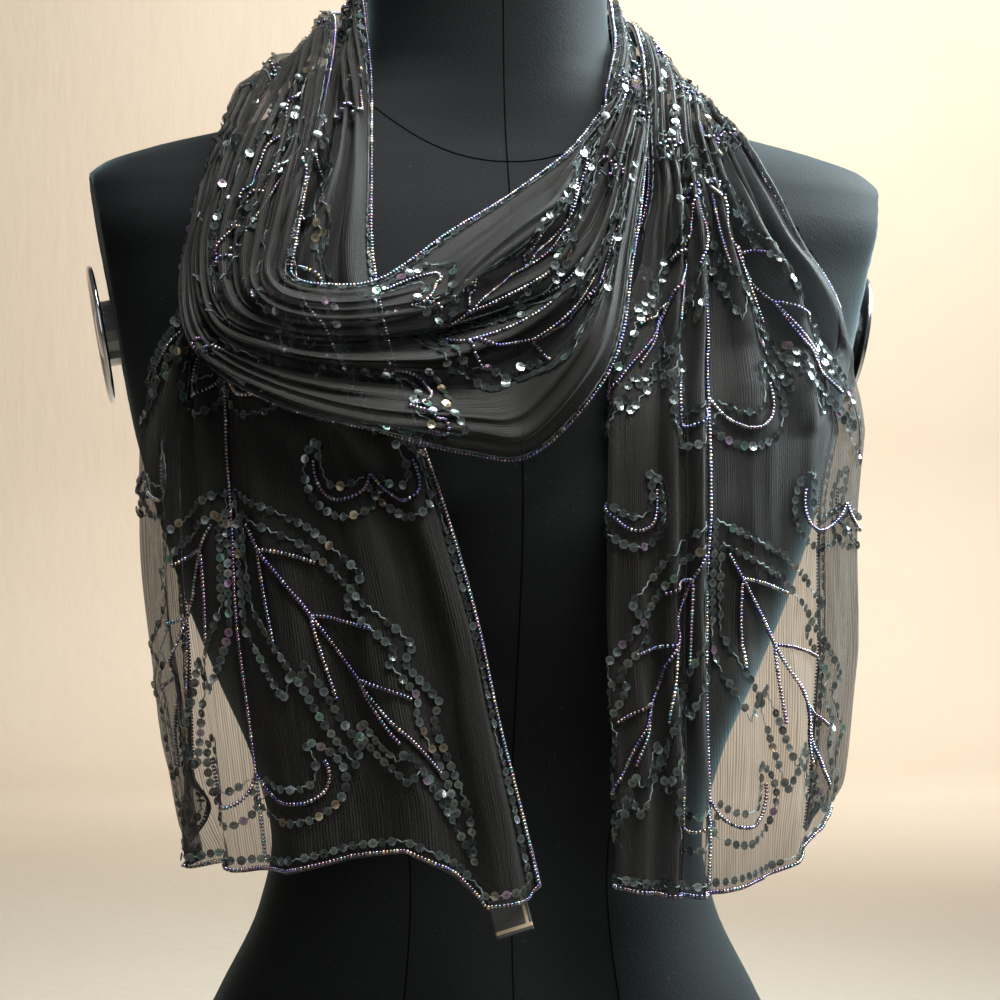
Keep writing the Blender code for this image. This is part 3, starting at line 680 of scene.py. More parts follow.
@dataclass
class DressForm:
    """Padded torso with its cover seams, arm plates and base board."""

    foot: float = 0.012
    top: float = 0.640
    rim: float = 0.006
    around: int = 176
    arm_point: tuple = (0.1885, 0.0, 0.500)
    arm_turn: float = math.radians(2)
    arm_tilt: float = math.radians(10)
    arm_centre: tuple = (0.014, 0.448)
    boss_height: float = 0.0060
    board_inset: float = 0.004
    shift: Array = field(init=False)

    def __post_init__(self) -> None:
        """Reads where the base board stands, since the part is centred on its outer box."""
        self.table = np.array([
            (r.z, r.half_width, r.front, r.back, r.squareness) for r in FORM_LEVELS
        ])
        low, high = (np.array(corner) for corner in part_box("form_base_board"))
        first = FORM_LEVELS[0]
        share = 1 - self.board_inset / first.half_width
        middle_y = (first.back - first.front) / 2 * share
        middle = (low + high) / 2
        self.shift = np.array([middle[0], middle[1] - middle_y, 0.0])

    def row(self, z: Array) -> Array:
        """Half width, front, back and squareness at each height."""
        return steady_cubic_through(self.table[:, 0], self.table[:, 1:], z)

    def level(self, points: Array) -> Array:
        """Below 1 inside the form, 1 on it: the superellipse's sum of powers, rooted."""
        row = self.row(points[..., 2])
        depth = np.where(points[..., 1] < 0, row[..., 1], row[..., 2])
        n = row[..., 3]
        across = (np.abs(points[..., 0]) / row[..., 0]) ** n
        return (across + (np.abs(points[..., 1]) / depth) ** n) ** (1 / n)

    def push_off(self, points: Array, least: Array, rounds: int = 5) -> Array:
        """Moves points nearer than least straight out to that distance."""
        points = points.copy()
        e = 0.0005
        for _ in range(rounds):
            value = self.level(points) - 1
            steps = np.eye(3) * e
            grad = np.stack(
                [(self.level(points + s) - self.level(points - s)) / (2 * e) for s in steps], -1
            )
            size = np.linalg.norm(grad, axis=-1)
            points += grad / size[..., None] * np.maximum(least - value / size, 0)[..., None]
        return points

    def arm_normal(self, side: Side) -> Array:
        """Outward direction of the flat cut at an armhole."""
        tilt, turn = self.arm_tilt, self.arm_turn
        return np.array([
            side.value * math.cos(tilt) * math.cos(turn),
            -math.cos(tilt) * math.sin(turn),
            -math.sin(tilt),
        ])

    def skin(self, angle: Array, z: Array, inset: Array | float = 0.0) -> Array:
        """Point of the cover at an angle round the form and a height.

        x is the half width times cos to the power 2 over the squareness, y the depth times sin
        to that power, and what lies beyond a flat arm cut is moved sideways onto the cut.

        Args:
            angle: Angle from +X toward +Y.
            z: Height.
            inset: Distance that the ring is drawn in by.

        Returns:
            Points, before the shift to the part's own frame.
        """
        angle, z = np.broadcast_arrays(angle, z)
        row = self.row(z)
        c, s = np.cos(angle), np.sin(angle)
        depth = np.where(s < 0, row[..., 1], row[..., 2])
        power = 2 / row[..., 3]
        x = (row[..., 0] - inset) * np.sign(c) * np.abs(c) ** power
        y = (depth - inset) * np.sign(s) * np.abs(s) ** power
        for side in Side:
            normal = self.arm_normal(side)
            corner = np.array([side.value * self.arm_point[0], *self.arm_point[1:]])
            over = np.stack([x, y, z], axis=-1) @ normal - corner @ normal
            x = np.where((over > 0) & (z > 0.30) & (x * side.value > 0), x - over / normal[0], x)
        return np.stack([x, y, z], axis=-1)

    def cover(self, finish: bpy.types.Material) -> bpy.types.Object:
        """Closed cover: rings of the skin, a rounded rim and two flat ends."""
        rounding = np.linspace(0, np.pi / 2, 6)
        heights = np.concatenate([
            np.linspace(self.foot, 0.06, 14)[:-1], np.linspace(0.06, 0.50, 74)[:-1],
            np.linspace(0.50, 0.585, 44)[:-1], np.linspace(0.585, self.top - self.rim, 8)[:-1],
            self.top - self.rim + self.rim * np.sin(rounding),
        ])
        inset = np.zeros(len(heights))
        inset[-6:] = self.rim * (1 - np.cos(rounding))
        angle = np.linspace(0, 2 * np.pi, self.around, endpoint=False) + 0.004
        rings = self.skin(angle[None, :], heights[:, None], inset[:, None]) + self.shift
        count = self.around
        bottom = np.arange(count)[None, ::-1]
        top = (len(heights) - 1) * count + np.arange(count)[None, :]
        faces = [grid_faces(len(heights), count, wrap=True), bottom, top]
        return make_piece("jersey_cover", rings.reshape(-1, 3), faces, finish)

    def skin_at(self, x: Array, z: Array, face: Array | float) -> Array:
        """Point of the cover at a sideways place and a height, on its front (-1) or back (1)."""
        row = self.row(z)
        ratio = np.clip(np.abs(x) / row[:, 0], 0, 1) ** (row[:, 3] / 2)
        return self.skin(np.arctan2(face * np.sqrt(1 - ratio**2), np.sign(x) * ratio), z)

    def seam_paths(self) -> list[tuple[Array, bool]]:
        """Lines of the cover's seams, each with whether it closes on itself.

        The neck seam's sideways place is its half width times the sine of the angle round it,
        and its height falls from the side by a share to the power 2.2 toward front and back.
        """
        paths = []
        for face, top in ((-1.0, 0.5230), (1.0, 0.5560)):
            z = np.linspace(0.020, top, 150)
            paths.append((self.skin(np.full_like(z, face * np.pi / 2), z), False))
            z = np.linspace(top, self.top - 0.006, 60)
            paths.append((self.skin(np.full_like(z, face * np.pi / 2), z), False))
        rows = np.array([
            (0.020, 0.070), (0.120, 0.052), (0.200, 0.046), (0.300, 0.068), (0.360, 0.080),
            (0.450, 0.092), (0.520, 0.098), (0.541, 0.100),
        ])
        z = np.linspace(0.020, 0.541, 150)
        x = cubic_through(rows[:, 0], rows[:, 1:], z)[:, 0]
        paths += [(self.skin_at(sign * x, z, face), False) for sign in (1, -1) for face in (-1, 1)]
        turn = np.linspace(0, 2 * np.pi, 240, endpoint=False) + 0.01
        x = 0.074 * np.sin(turn)
        front = np.cos(turn) > 0
        drop = np.where(front, 0.0425, 0.0095) * (1 - np.abs(x / 0.074) ** 2.2)
        paths.append((self.skin_at(x, 0.5655 - drop, np.where(front, -1.0, 1.0)), True))
        rim = self.skin(turn, np.full_like(turn, self.top - 0.0075))
        paths.append((rim, True))
        return paths

    def seams(self, finish: bpy.types.Material) -> bpy.types.Object:
        """Raised stitching lines: thin tubes sunk into the cover to over half their width."""
        parts = []
        for path, closed in self.seam_paths():
            outward = path - np.array([0.0, 0.0, 1.0]) * path[:, 2:3]
            make = closed_ring_tube if closed else tube
            parts.append(make(path - unit(outward) * 0.00028 + self.shift, outward, 0.00050, 6))
        points, faces = join_parts(parts)
        return make_piece("cover_seams", points, faces, finish)

    def arm_plate(self, side: Side, finish: bpy.types.Material) -> bpy.types.Object:
        """Turned plate: a profile of radius and height carried round the arm's axis."""
        profile = np.array([
            (0.0, 0.0), (0.0325, 0.0), (0.0338, 0.0005), (0.0340, 0.0012), (0.0334, 0.0024),
            (0.0322, 0.0028), (0.0306, 0.0025), (0.0292, 0.0015), (0.0270, 0.0012),
            (0.0180, 0.0013), (0.0120, 0.0016), (0.0108, 0.0024), (0.0095, 0.0028), (0.0, 0.0028),
        ])
        normal = self.arm_normal(side)
        corner = np.array([side.value * self.arm_point[0], *self.arm_point[1:]])
        seat = np.array([0.0, *self.arm_centre])
        seat[0] = corner[0] - (normal[1:] @ (seat[1:] - corner[1:])) / normal[0]
        centre = seat + normal * self.boss_height + self.shift
        first = unit(np.cross(normal, np.array([0.0, 0.0, 1.0])))
        second = np.cross(normal, first)
        angle = np.linspace(0, 2 * np.pi, 96, endpoint=False)[None, :, None]
        out = np.cos(angle) * first + np.sin(angle) * second
        middle = profile[1:-1]
        rings = centre + middle[:, 1, None, None] * normal + middle[:, 0, None, None] * out
        points = np.concatenate([rings.reshape(-1, 3), [centre], [centre + normal * profile[-1, 1]]])
        rows = len(middle)
        k = np.arange(96)
        low = np.stack([np.full(96, rows * 96), (k + 1) % 96, k], -1)
        last = (rows - 1) * 96
        high = np.stack([np.full(96, rows * 96 + 1), last + k, last + (k + 1) % 96], -1)
        faces = [grid_faces(rows, 96, wrap=True), low, high]
        name = "chrome_plate_" + side.name.lower()
        return make_piece(name, points, faces, finish)

    def build(self) -> None:
        """Builds and dresses the form's pieces."""
        cover = self.cover(StretchJersey().build("jersey_knit"))
        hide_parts("form_body")
        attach(cover, "root")
        seam_thread = SewingThread((0.0030, 0.0034, 0.0034, 1.0), (0.001, 0.001, 0.001, 1.0), 0.0, 0.0)
        seams = self.seams(seam_thread.build("seam_thread"))
        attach(seams, "root")
        chrome = PolishedChrome().build("plate_chrome")
        for side in Side:
            plate = self.arm_plate(side, chrome)
            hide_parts("arm_plate_" + side.name.lower())
            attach(plate, "root")
            boss = PolishedChrome((0.45, 0.45, 0.46, 1.0), 0.22, 0.3)
            dress_node("arm_boss_" + side.name.lower(), boss.build("boss_metal_" + side.name.lower()))
        dress_node("form_base_board", StainedBoard().build("board_stain"))
        log.info("dress form: cover, seams, two plates, board")


def dress_node(name: str, finish: bpy.types.Material) -> None:
    """Gives a CAD node that stays its finish."""
    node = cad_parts[name]
    for slot in node.material_slots:
        slot.material = finish


# The stole's sections
@dataclass(frozen=True)
class Section:
    """One cross section of the stole.

    inner, mid, outer: the edge toward the neck, the centre line and the other edge.
    lift: least distance from the form; depth: how far the folds stand out.
    merge: 0 for three folds a half, 1 for two large ones; lean: how far they hang over.
    under_in, under_out: width of the margin turned under.
    in_1 to out_3: strength of the small folds; pleats: share of fine pleats in a gathered place.
    """

    inner: tuple
    mid: tuple
    outer: tuple
    lift: float
    depth: float
    merge: float
    lean: float
    under_in: float
    under_out: float
    in_1: float
    in_2: float
    in_3: float
    out_1: float
    out_2: float
    out_3: float
    pleats: float


END_LEFT = (
    Section((0.043, -0.118, 0.193), (0.086, -0.106, 0.188), (0.160, -0.050, 0.220),
            0.004, 0.70, 0.0, 0.0, 0.046, 0.020, 1.0, 1.0, 0.6, 0.3, 0.5, 0.0, 0.0),
    Section((0.042, -0.120, 0.242), (0.086, -0.108, 0.240), (0.168, -0.048, 0.236),
            0.004, 0.70, 0.0, 0.0, 0.048, 0.024, 1.0, 1.0, 0.5, 0.3, 0.5, 0.0, 0.0),
    Section((0.038, -0.122, 0.304), (0.084, -0.110, 0.303), (0.175, -0.046, 0.297),
            0.004, 0.70, 0.0, 0.0, 0.050, 0.026, 1.0, 1.0, 0.3, 0.3, 0.5, 0.0, 0.0),
    Section((0.038, -0.126, 0.358), (0.084, -0.116, 0.358), (0.177, -0.050, 0.357),
            0.009, 0.70, 0.0, 0.0, 0.050, 0.028, 1.0, 1.0, 0.3, 0.4, 0.6, 0.0, 0.0),
    Section((0.039, -0.124, 0.402), (0.084, -0.116, 0.403), (0.176, -0.053, 0.406),
            0.009, 0.60, 0.0, 0.0, 0.050, 0.022, 1.0, 1.0, 0.3, 0.5, 0.7, 0.2, 0.0),
    Section((0.045, -0.110, 0.443), (0.086, -0.101, 0.444), (0.160, -0.060, 0.451),
            0.009, 0.45, 0.0, 0.0, 0.036, 0.006, 1.0, 1.0, 0.3, 0.6, 0.8, 0.5, 0.1),
    Section((0.061, -0.093, 0.486), (0.087, -0.087, 0.488), (0.131, -0.075, 0.495),
            0.006, 0.33, 0.0, 0.0, 0.012, 0.000, 1.0, 1.0, 0.4, 0.8, 0.9, 0.8, 0.5),
    Section((0.067, -0.066, 0.536), (0.086, -0.062, 0.535), (0.107, -0.043, 0.544),
            0.004, 0.30, 0.0, 0.0, 0.000, 0.000, 1.0, 1.0, 0.8, 1.0, 1.0, 1.0, 0.9),
)
BACK_OUTER = (
    Section((0.073, -0.013, 0.588), (0.091, -0.005, 0.575), (0.110, 0.018, 0.563),
            0.004, 0.45, 0.0, 0.0, 0.000, 0.000, 1.0, 1.0, 1.0, 1.0, 1.0, 1.0, 1.0),
    Section((0.074, 0.042, 0.611), (0.085, 0.047, 0.585), (0.098, 0.051, 0.556),
            0.002, 0.45, 0.0, 0.0, 0.000, 0.000, 1.0, 1.0, 1.0, 1.0, 1.0, 1.0, 1.0),
    Section((0.000, 0.077, 0.613), (0.000, 0.083, 0.581), (0.000, 0.081, 0.548),
            0.002, 0.45, 0.0, 0.0, 0.000, 0.000, 1.0, 1.0, 1.0, 1.0, 1.0, 1.0, 1.0),
    Section((-0.074, 0.042, 0.611), (-0.084, 0.046, 0.585), (-0.096, 0.050, 0.557),
            0.002, 0.45, 0.0, 0.0, 0.000, 0.000, 1.0, 1.0, 1.0, 1.0, 1.0, 1.0, 1.0),
)
LOOP_LEFT = (
    Section((-0.074, -0.005, 0.598), (-0.086, 0.003, 0.584), (-0.104, 0.014, 0.566),
            0.010, 0.40, 0.0, 0.0, 0.000, 0.000, 1.0, 1.0, 1.0, 1.0, 1.0, 1.0, 1.0),
    Section((-0.084, -0.056, 0.553), (-0.106, -0.046, 0.555), (-0.122, -0.048, 0.546),
            0.008, 0.32, 0.0, 0.0, 0.000, 0.000, 1.0, 1.0, 1.0, 1.0, 1.0, 1.0, 0.7),
    Section((-0.094, -0.087, 0.508), (-0.126, -0.077, 0.514), (-0.140, -0.077, 0.500),
            0.010, 0.30, 0.2, 0.1, 0.000, 0.000, 1.0, 1.0, 1.0, 1.0, 1.0, 1.0, 0.9),
    Section((-0.100, -0.100, 0.477), (-0.134, -0.087, 0.481), (-0.146, -0.084, 0.466),
            0.010, 0.34, 0.4, 0.2, 0.000, 0.000, 1.0, 1.0, 1.0, 1.0, 1.0, 1.0, 0.9),
    Section((-0.1005, -0.103, 0.4655), (-0.127, -0.101, 0.447), (-0.139, -0.101, 0.430),
            0.010, 0.40, 0.5, 0.3, 0.000, 0.000, 1.0, 1.0, 1.0, 1.0, 1.0, 1.0, 0.8),
)
LOOP_FRONT = (
    Section((-0.090, -0.109, 0.4615), (-0.100, -0.114, 0.438), (-0.110, -0.121, 0.410),
            0.012, 0.35, 0.6, 0.5, 0.000, 0.000, 1.0, 1.0, 1.0, 1.0, 1.0, 1.0, 0.6),
    Section((-0.062, -0.111, 0.464), (-0.064, -0.121, 0.438), (-0.064, -0.133, 0.397),
            0.010, 0.30, 0.8, 0.6, 0.000, 0.000, 1.0, 1.0, 1.0, 1.0, 1.0, 1.0, 0.5),
    Section((-0.030, -0.098, 0.488), (-0.034, -0.110, 0.444), (-0.027, -0.130, 0.387),
            0.004, 0.30, 1.0, 0.6, 0.000, 0.000, 1.0, 1.0, 1.0, 1.0, 1.0, 1.0, 0.4),
    Section((0.001, -0.084, 0.507), (-0.004, -0.106, 0.453), (0.006, -0.128, 0.388),
            0.004, 0.30, 1.0, 0.5, 0.000, 0.000, 1.0, 1.0, 1.0, 1.0, 1.0, 1.0, 0.4),
    Section((0.026, -0.074, 0.526), (0.020, -0.103, 0.463), (0.037, -0.128, 0.424),
            0.004, 0.30, 0.9, 0.4, 0.000, 0.000, 1.0, 1.0, 1.0, 1.0, 1.0, 1.0, 0.4),
    Section((0.042, -0.064, 0.544), (0.039, -0.096, 0.486), (0.051, -0.108, 0.476),
            0.004, 0.30, 0.7, 0.2, 0.000, 0.000, 1.0, 1.0, 1.0, 1.0, 1.0, 1.0, 0.7),
    Section((0.049, -0.054, 0.558), (0.054, -0.070, 0.534), (0.062, -0.080, 0.523),
            0.003, 0.30, 0.7, 0.1, 0.000, 0.000, 1.0, 1.0, 1.0, 1.0, 1.0, 1.0, 0.9),
)
BACK_INNER = (
    Section((0.060, -0.012, 0.595), (0.066, -0.013, 0.580), (0.074, -0.018, 0.569),
            0.002, 0.32, 0.1, 0.0, 0.000, 0.000, 1.0, 1.0, 1.0, 1.0, 1.0, 1.0, 1.0),
    Section((0.059, 0.026, 0.626), (0.063, 0.030, 0.604), (0.069, 0.035, 0.580),
            0.002, 0.34, 0.0, 0.0, 0.000, 0.000, 1.0, 1.0, 1.0, 1.0, 1.0, 1.0, 1.0),
    Section((0.000, 0.0625, 0.628), (0.000, 0.066, 0.604), (0.000, 0.072, 0.580),
            0.002, 0.34, 0.0, 0.0, 0.000, 0.000, 1.0, 1.0, 1.0, 1.0, 1.0, 1.0, 1.0),
    Section((-0.059, 0.026, 0.626), (-0.063, 0.030, 0.604), (-0.069, 0.035, 0.580),
            0.002, 0.34, 0.0, 0.0, 0.000, 0.000, 1.0, 1.0, 1.0, 1.0, 1.0, 1.0, 1.0),
)
END_RIGHT = (
    Section((-0.061, -0.018, 0.602), (-0.066, -0.008, 0.586), (-0.072, 0.004, 0.572),
            0.002, 0.32, 0.0, 0.0, 0.000, 0.000, 1.0, 1.0, 1.0, 1.0, 1.0, 1.0, 1.0),
    Section((-0.062, -0.048, 0.560), (-0.080, -0.044, 0.552), (-0.098, -0.036, 0.548),
            0.003, 0.26, 0.0, 0.0, 0.000, 0.000, 1.0, 1.0, 1.0, 1.0, 1.0, 1.0, 0.7),
    Section((-0.064, -0.076, 0.513), (-0.098, -0.073, 0.511), (-0.122, -0.068, 0.508),
            0.003, 0.24, 0.0, 0.0, 0.000, 0.000, 1.0, 1.0, 1.0, 1.0, 1.0, 1.0, 0.4),
    Section((-0.064, -0.095, 0.470), (-0.121, -0.083, 0.468), (-0.142, -0.077, 0.466),
            0.007, 0.30, 0.0, 0.0, 0.000, 0.020, 1.0, 1.0, 1.0, 0.8, 1.0, 0.6, 0.2),
    Section((-0.058, -0.109, 0.433), (-0.130, -0.089, 0.436), (-0.158, -0.066, 0.437),
            0.009, 0.40, 0.0, 0.0, 0.000, 0.032, 0.7, 0.8, 1.0, 0.6, 0.8, 0.2, 0.0),
    Section((-0.047, -0.121, 0.397), (-0.130, -0.098, 0.400), (-0.168, -0.048, 0.402),
            0.004, 0.50, 0.0, 0.0, 0.000, 0.036, 0.5, 0.6, 1.0, 0.5, 0.8, 0.0, 0.0),
    Section((-0.034, -0.126, 0.358), (-0.128, -0.102, 0.358), (-0.169, -0.044, 0.357),
            0.004, 0.60, 0.0, 0.0, 0.000, 0.036, 0.4, 0.5, 1.0, 0.5, 0.8, 0.0, 0.0),
    Section((-0.021, -0.124, 0.314), (-0.125, -0.102, 0.314), (-0.166, -0.042, 0.309),
            0.004, 0.60, 0.0, 0.0, 0.000, 0.036, 0.3, 0.5, 1.0, 0.5, 0.8, 0.0, 0.0),
    Section((-0.011, -0.122, 0.269), (-0.120, -0.101, 0.269), (-0.161, -0.040, 0.271),
            0.004, 0.60, 0.0, 0.0, 0.000, 0.030, 0.3, 0.5, 1.0, 0.5, 0.8, 0.0, 0.0),
    Section((-0.002, -0.120, 0.234), (-0.116, -0.100, 0.238), (-0.155, -0.040, 0.233),
            0.004, 0.60, 0.0, 0.0, 0.000, 0.018, 0.3, 0.5, 1.0, 0.5, 0.8, 0.0, 0.0),
    Section((0.008, -0.117, 0.195), (-0.112, -0.098, 0.202), (-0.149, -0.040, 0.204),
            0.004, 0.60, 0.0, 0.0, 0.000, 0.004, 0.4, 0.6, 1.0, 0.5, 0.8, 0.0, 0.0),
)


@dataclass(frozen=True)
class Stretch:
    """One wound stretch that shows, with its CAD node and what it lies on."""

    piece: str
    node: str
    sections: tuple
    rests_on: tuple
    held: str


STRETCHES = (
    Stretch("silk_end_left", "stole_end_left", END_LEFT, ("jersey_cover",), "draped"),
    Stretch("silk_back_outer", "stole_back_outer", BACK_OUTER, ("silk_back_inner",), "gathered"),
    Stretch("silk_loop_left", "stole_loop_left", LOOP_LEFT, ("jersey_cover",), "gathered"),
    Stretch("silk_loop_front", "stole_loop_front", LOOP_FRONT, ("jersey_cover",), "draped"),
    Stretch("silk_back_inner", "stole_back_inner", BACK_INNER, ("jersey_cover",), "gathered"),
    Stretch("silk_end_right", "stole_end_right", END_RIGHT, ("jersey_cover",), "draped"),
)


@dataclass
class StoleCloth:
    """The whole strip as a surface: a point for each place along it and across it."""

    form: DressForm
    half_width: float = 0.145
    bend: float = 0.011
    full_turn_from: float = 0.020
    under_drop: float = 0.004
    steepest: float = 1.30
    steeper_gathered: float = 0.95
    least_kept: float = 0.73
    pleat_limits: tuple = (0.0, 0.11, 0.25, 0.36, 0.49, 0.62, 0.72, 0.87, 1.0)
    pleat_strengths: tuple = (1.10, 0.70, 1.20, 0.60, 1.05, 0.80, 1.15, 0.75)
    step_along: float = 0.0025
    step_across: float = 0.00195
    hem_rise: tuple = (
        (-0.145, 0.000), (-0.136, -0.006), (-0.111, -0.010), (-0.102, -0.003), (-0.094, 0.004),
        (-0.070, 0.014), (-0.045, 0.010), (-0.012, 0.000), (0.145, 0.000),
    )
    hem_rise_reach: float = 0.070

    def __post_init__(self) -> None:
        """Works the strip out once, on an even grid."""
        rows = [s for stretch in STRETCHES for s in stretch.sections]
        self.points = np.array([s.inner + s.mid + s.outer for s in rows])
        self.shape = np.array([
            (s.lift, s.depth, s.merge, s.lean, s.under_in, s.under_out, s.in_1, s.in_2, s.in_3,
             s.out_1, s.out_2, s.out_3, s.pleats)
            for s in rows
        ])
        gaps = np.linalg.norm(np.diff(self.points[:, 3:6], axis=0), axis=1)
        self.knots = np.concatenate([[0.0], np.cumsum(gaps)])
        self.length = float(self.knots[-1])
        self.along = np.linspace(0, self.length, int(self.length / self.step_along) + 1)
        count = 2 * int(self.half_width / self.step_across) + 1
        self.across = np.linspace(-self.half_width, self.half_width, count)
        grid = self.raise_hem(self.surface(self.along, self.across))
        grid = grid + self.outward(grid) * self.ripple(self.along, self.across)[..., None]
        self.grid = grid + self.form.shift
        self.normal = self.outward(self.grid)

    def fold_wave(self, share: Array, limits: Sequence[float], strengths: Array) -> Array:
        """One sine wave between each two limits, times that fold's strength; 0 beyond 1."""
        edges = np.array(limits)
        i = np.clip(np.searchsorted(edges, share, side="right") - 1, 0, len(edges) - 2)
        t = (share - edges[i]) / (edges[i + 1] - edges[i])
        wave = np.sin(2 * np.pi * t) * np.take_along_axis(strengths, i, axis=1)
        return np.where(share < 1, wave, 0.0)

    def half_profile(self, chord: Array, shape: Array, inner: bool) -> tuple[Array, Array, Array]:
        """Across one half: distance from the centre line, way along the base, height.

        The slope angle is the fold waves times one size for each station, found by halving so
        that the half fits its chord, and a half turn at a margin that is turned under. The way
        and the height are the running sums of its cosine and sine. The height is then scaled
        by the section's depth, or by more where the cloth would else lose too much width.

        Args:
            chord: Room for the half at each station.
            shape: Rows of the sections' shape values.
            inner: True for the half toward the neck.

        Returns:
            Distances, and the way and height at each of them for each station.
        """
        under = shape[:, 4] if inner else shape[:, 5]
        strengths = shape[:, 6:9] if inner else shape[:, 9:12]
        large_limits = (0.0, 0.30, 1.0) if inner else (0.0, 0.42, 1.0)
        merge = shape[:, 2:3]
        pleats = shape[:, 12:13]
        across = np.linspace(0, self.half_width, 241)
        start = self.half_width - under - self.bend
        turned = smooth_step(under / self.full_turn_from)[:, None]
        folded = self.half_width - turned * (under[:, None] + self.bend)
        share = across[None] / folded
        ones = np.ones((len(under), 8))
        uneven = np.array(self.pleat_strengths[::1 if inner else -1])
        small = self.fold_wave(share, (0.0, 0.36, 0.70, 1.0), strengths)
        large = self.fold_wave(share, large_limits, ones)
        fine = self.fold_wave(share, self.pleat_limits, ones * uneven)
        wave = (1 - pleats) * ((1 - merge) * small + merge * large) + pleats * fine
        ramp = smooth_step((across[None] - start[:, None]) / self.bend)
        low = np.zeros(len(chord))
        high = self.steepest + self.steeper_gathered * pleats[:, 0]
        for _ in range(30):
            size = (low + high) / 2
            angle = size[:, None] * wave - np.pi * turned * ramp
            way = running_sum(np.cos(angle), across[1])
            too_long = way.max(axis=1) > chord
            low = np.where(too_long, size, low)
            high = np.where(too_long, high, size)
        way = way * np.minimum(1.0, chord / way.max(axis=1))[:, None]
        height = running_sum(np.sin(angle), across[1])
        depth = np.maximum(shape[:, 1], self.keeping_depth(way, height))[:, None]
        height = height * depth - ramp * turned * self.under_drop * (1 - depth)
        return across, way, height

    def keeping_depth(self, way: Array, height: Array) -> Array:
        """Share of the full height at which the least kept width is kept, found by halving."""
        steps = np.diff(way, axis=1), np.diff(height, axis=1)
        low, high = np.zeros(len(way)), np.ones(len(way))
        for _ in range(20):
            depth = (low + high) / 2
            kept = np.hypot(steps[0], depth[:, None] * steps[1]).sum(axis=1) / self.half_width
            low = np.where(kept < self.least_kept, depth, low)
            high = np.where(kept < self.least_kept, high, depth)
        return high

    def base(self, stations: Array) -> Array:
        """Unfolded cross curves, 33 points each: the parabola through the three edge points."""
        rows = cubic_through(self.knots, self.points, stations)
        lift = steady_cubic_through(self.knots, self.shape, stations)[:, 0]
        inner, mid, outer = (rows[:, None, k:k + 3] for k in (0, 3, 6))
        one = np.linalg.norm(mid - inner, axis=-1, keepdims=True)
        two = np.linalg.norm(outer - mid, axis=-1, keepdims=True)
        half = np.linspace(0, 1, 17)[None, :, None]
        at = np.concatenate([one * (half[:, :-1] - 1), two * half], axis=1)
        base = inner * at * (at - two) / (one * (one + two))
        base = base - mid * (at + one) * (at - two) / (one * two)
        base = base + outer * at * (at + one) / (two * (one + two))
        return self.form.push_off(base, lift[:, None])

    def surface(self, stations: Array, across: Array) -> Array:
        """The folded strip: the base curve, plus the fold's height along its normal.

        Args:
            stations: Places along the strip.
            across: Places across it, negative toward the neck.

        Returns:
            Points, one row for each station.
        """
        shape = steady_cubic_through(self.knots, self.shape, stations)
        base = self.base(stations)
        ahead = self.base(np.minimum(stations + 0.004, self.length))
        behind = self.base(np.maximum(stations - 0.004, 0.0))
        normal = unit(np.cross(np.gradient(base, axis=1), ahead - behind))
        gaps = np.linalg.norm(np.diff(base, axis=1), axis=-1)
        arc = np.concatenate([np.zeros((len(base), 1)), np.cumsum(gaps, axis=1)], axis=1)
        arc -= arc[:, 16:17]
        ways = []
        heights = []
        for inner in (True, False):
            chord = -arc[:, 0] if inner else arc[:, -1]
            cuts, way, height = self.half_profile(chord, shape, inner)
            at = -across[across < 0] if inner else across[across >= 0]
            i = np.clip(np.searchsorted(cuts, at, side="right") - 1, 0, len(cuts) - 2)
            t = (at - cuts[i]) / (cuts[i + 1] - cuts[i])
            sign = -1 if inner else 1
            ways.append(sign * (way[:, i] * (1 - t) + way[:, i + 1] * t))
            heights.append(height[:, i] * (1 - t) + height[:, i + 1] * t)
        way = np.concatenate(ways, axis=1)
        height = np.concatenate(heights, axis=1)
        way = way + shape[:, 3:4] * height
        on_base = interpolate_rows(way, arc, base)
        return on_base + unit(interpolate_rows(way, arc, normal)) * height[..., None]

    def raise_hem(self, grid: Array) -> Array:
        """Lifts the hem of the end at the viewer's left where it swings forward."""
        table = np.array(self.hem_rise)
        near = smooth_step(1 - (self.length - self.along) / self.hem_rise_reach)
        rise = np.interp(self.across, table[:, 0], table[:, 1])
        grid = grid.copy()
        grid[:, :, 2] += near[:, None] * rise[None]
        return grid

    def ripple(self, along: Array, across: Array) -> Array:
        """Small uneven ripples: a few sine waves, each bent by a slower one, in metres."""
        u, v = np.meshgrid(along, across, indexing="ij")
        soft = np.sin(2 * np.pi * (v / 0.031 + 0.35 * np.sin(u / 0.047) + u / 0.41))
        close = np.sin(2 * np.pi * (v / 0.0125 + 0.5 * np.sin(u / 0.031 + 2.1) + u / 0.23))
        slack = np.sin(2 * np.pi * (u / 0.083 + 0.4 * np.sin(v / 0.021)))
        near_edge = smooth_step((self.half_width - np.abs(v)) / 0.02)
        calm = 0.35 + 0.65 * near_edge
        return calm * (0.00055 * soft + 0.00032 * close * (0.6 + 0.4 * soft) + 0.00025 * slack)

    def outward(self, grid: Array) -> Array:
        """Unit normals: the step across times the step along."""
        return unit(np.cross(np.gradient(grid, axis=1), np.gradient(grid, axis=0)))

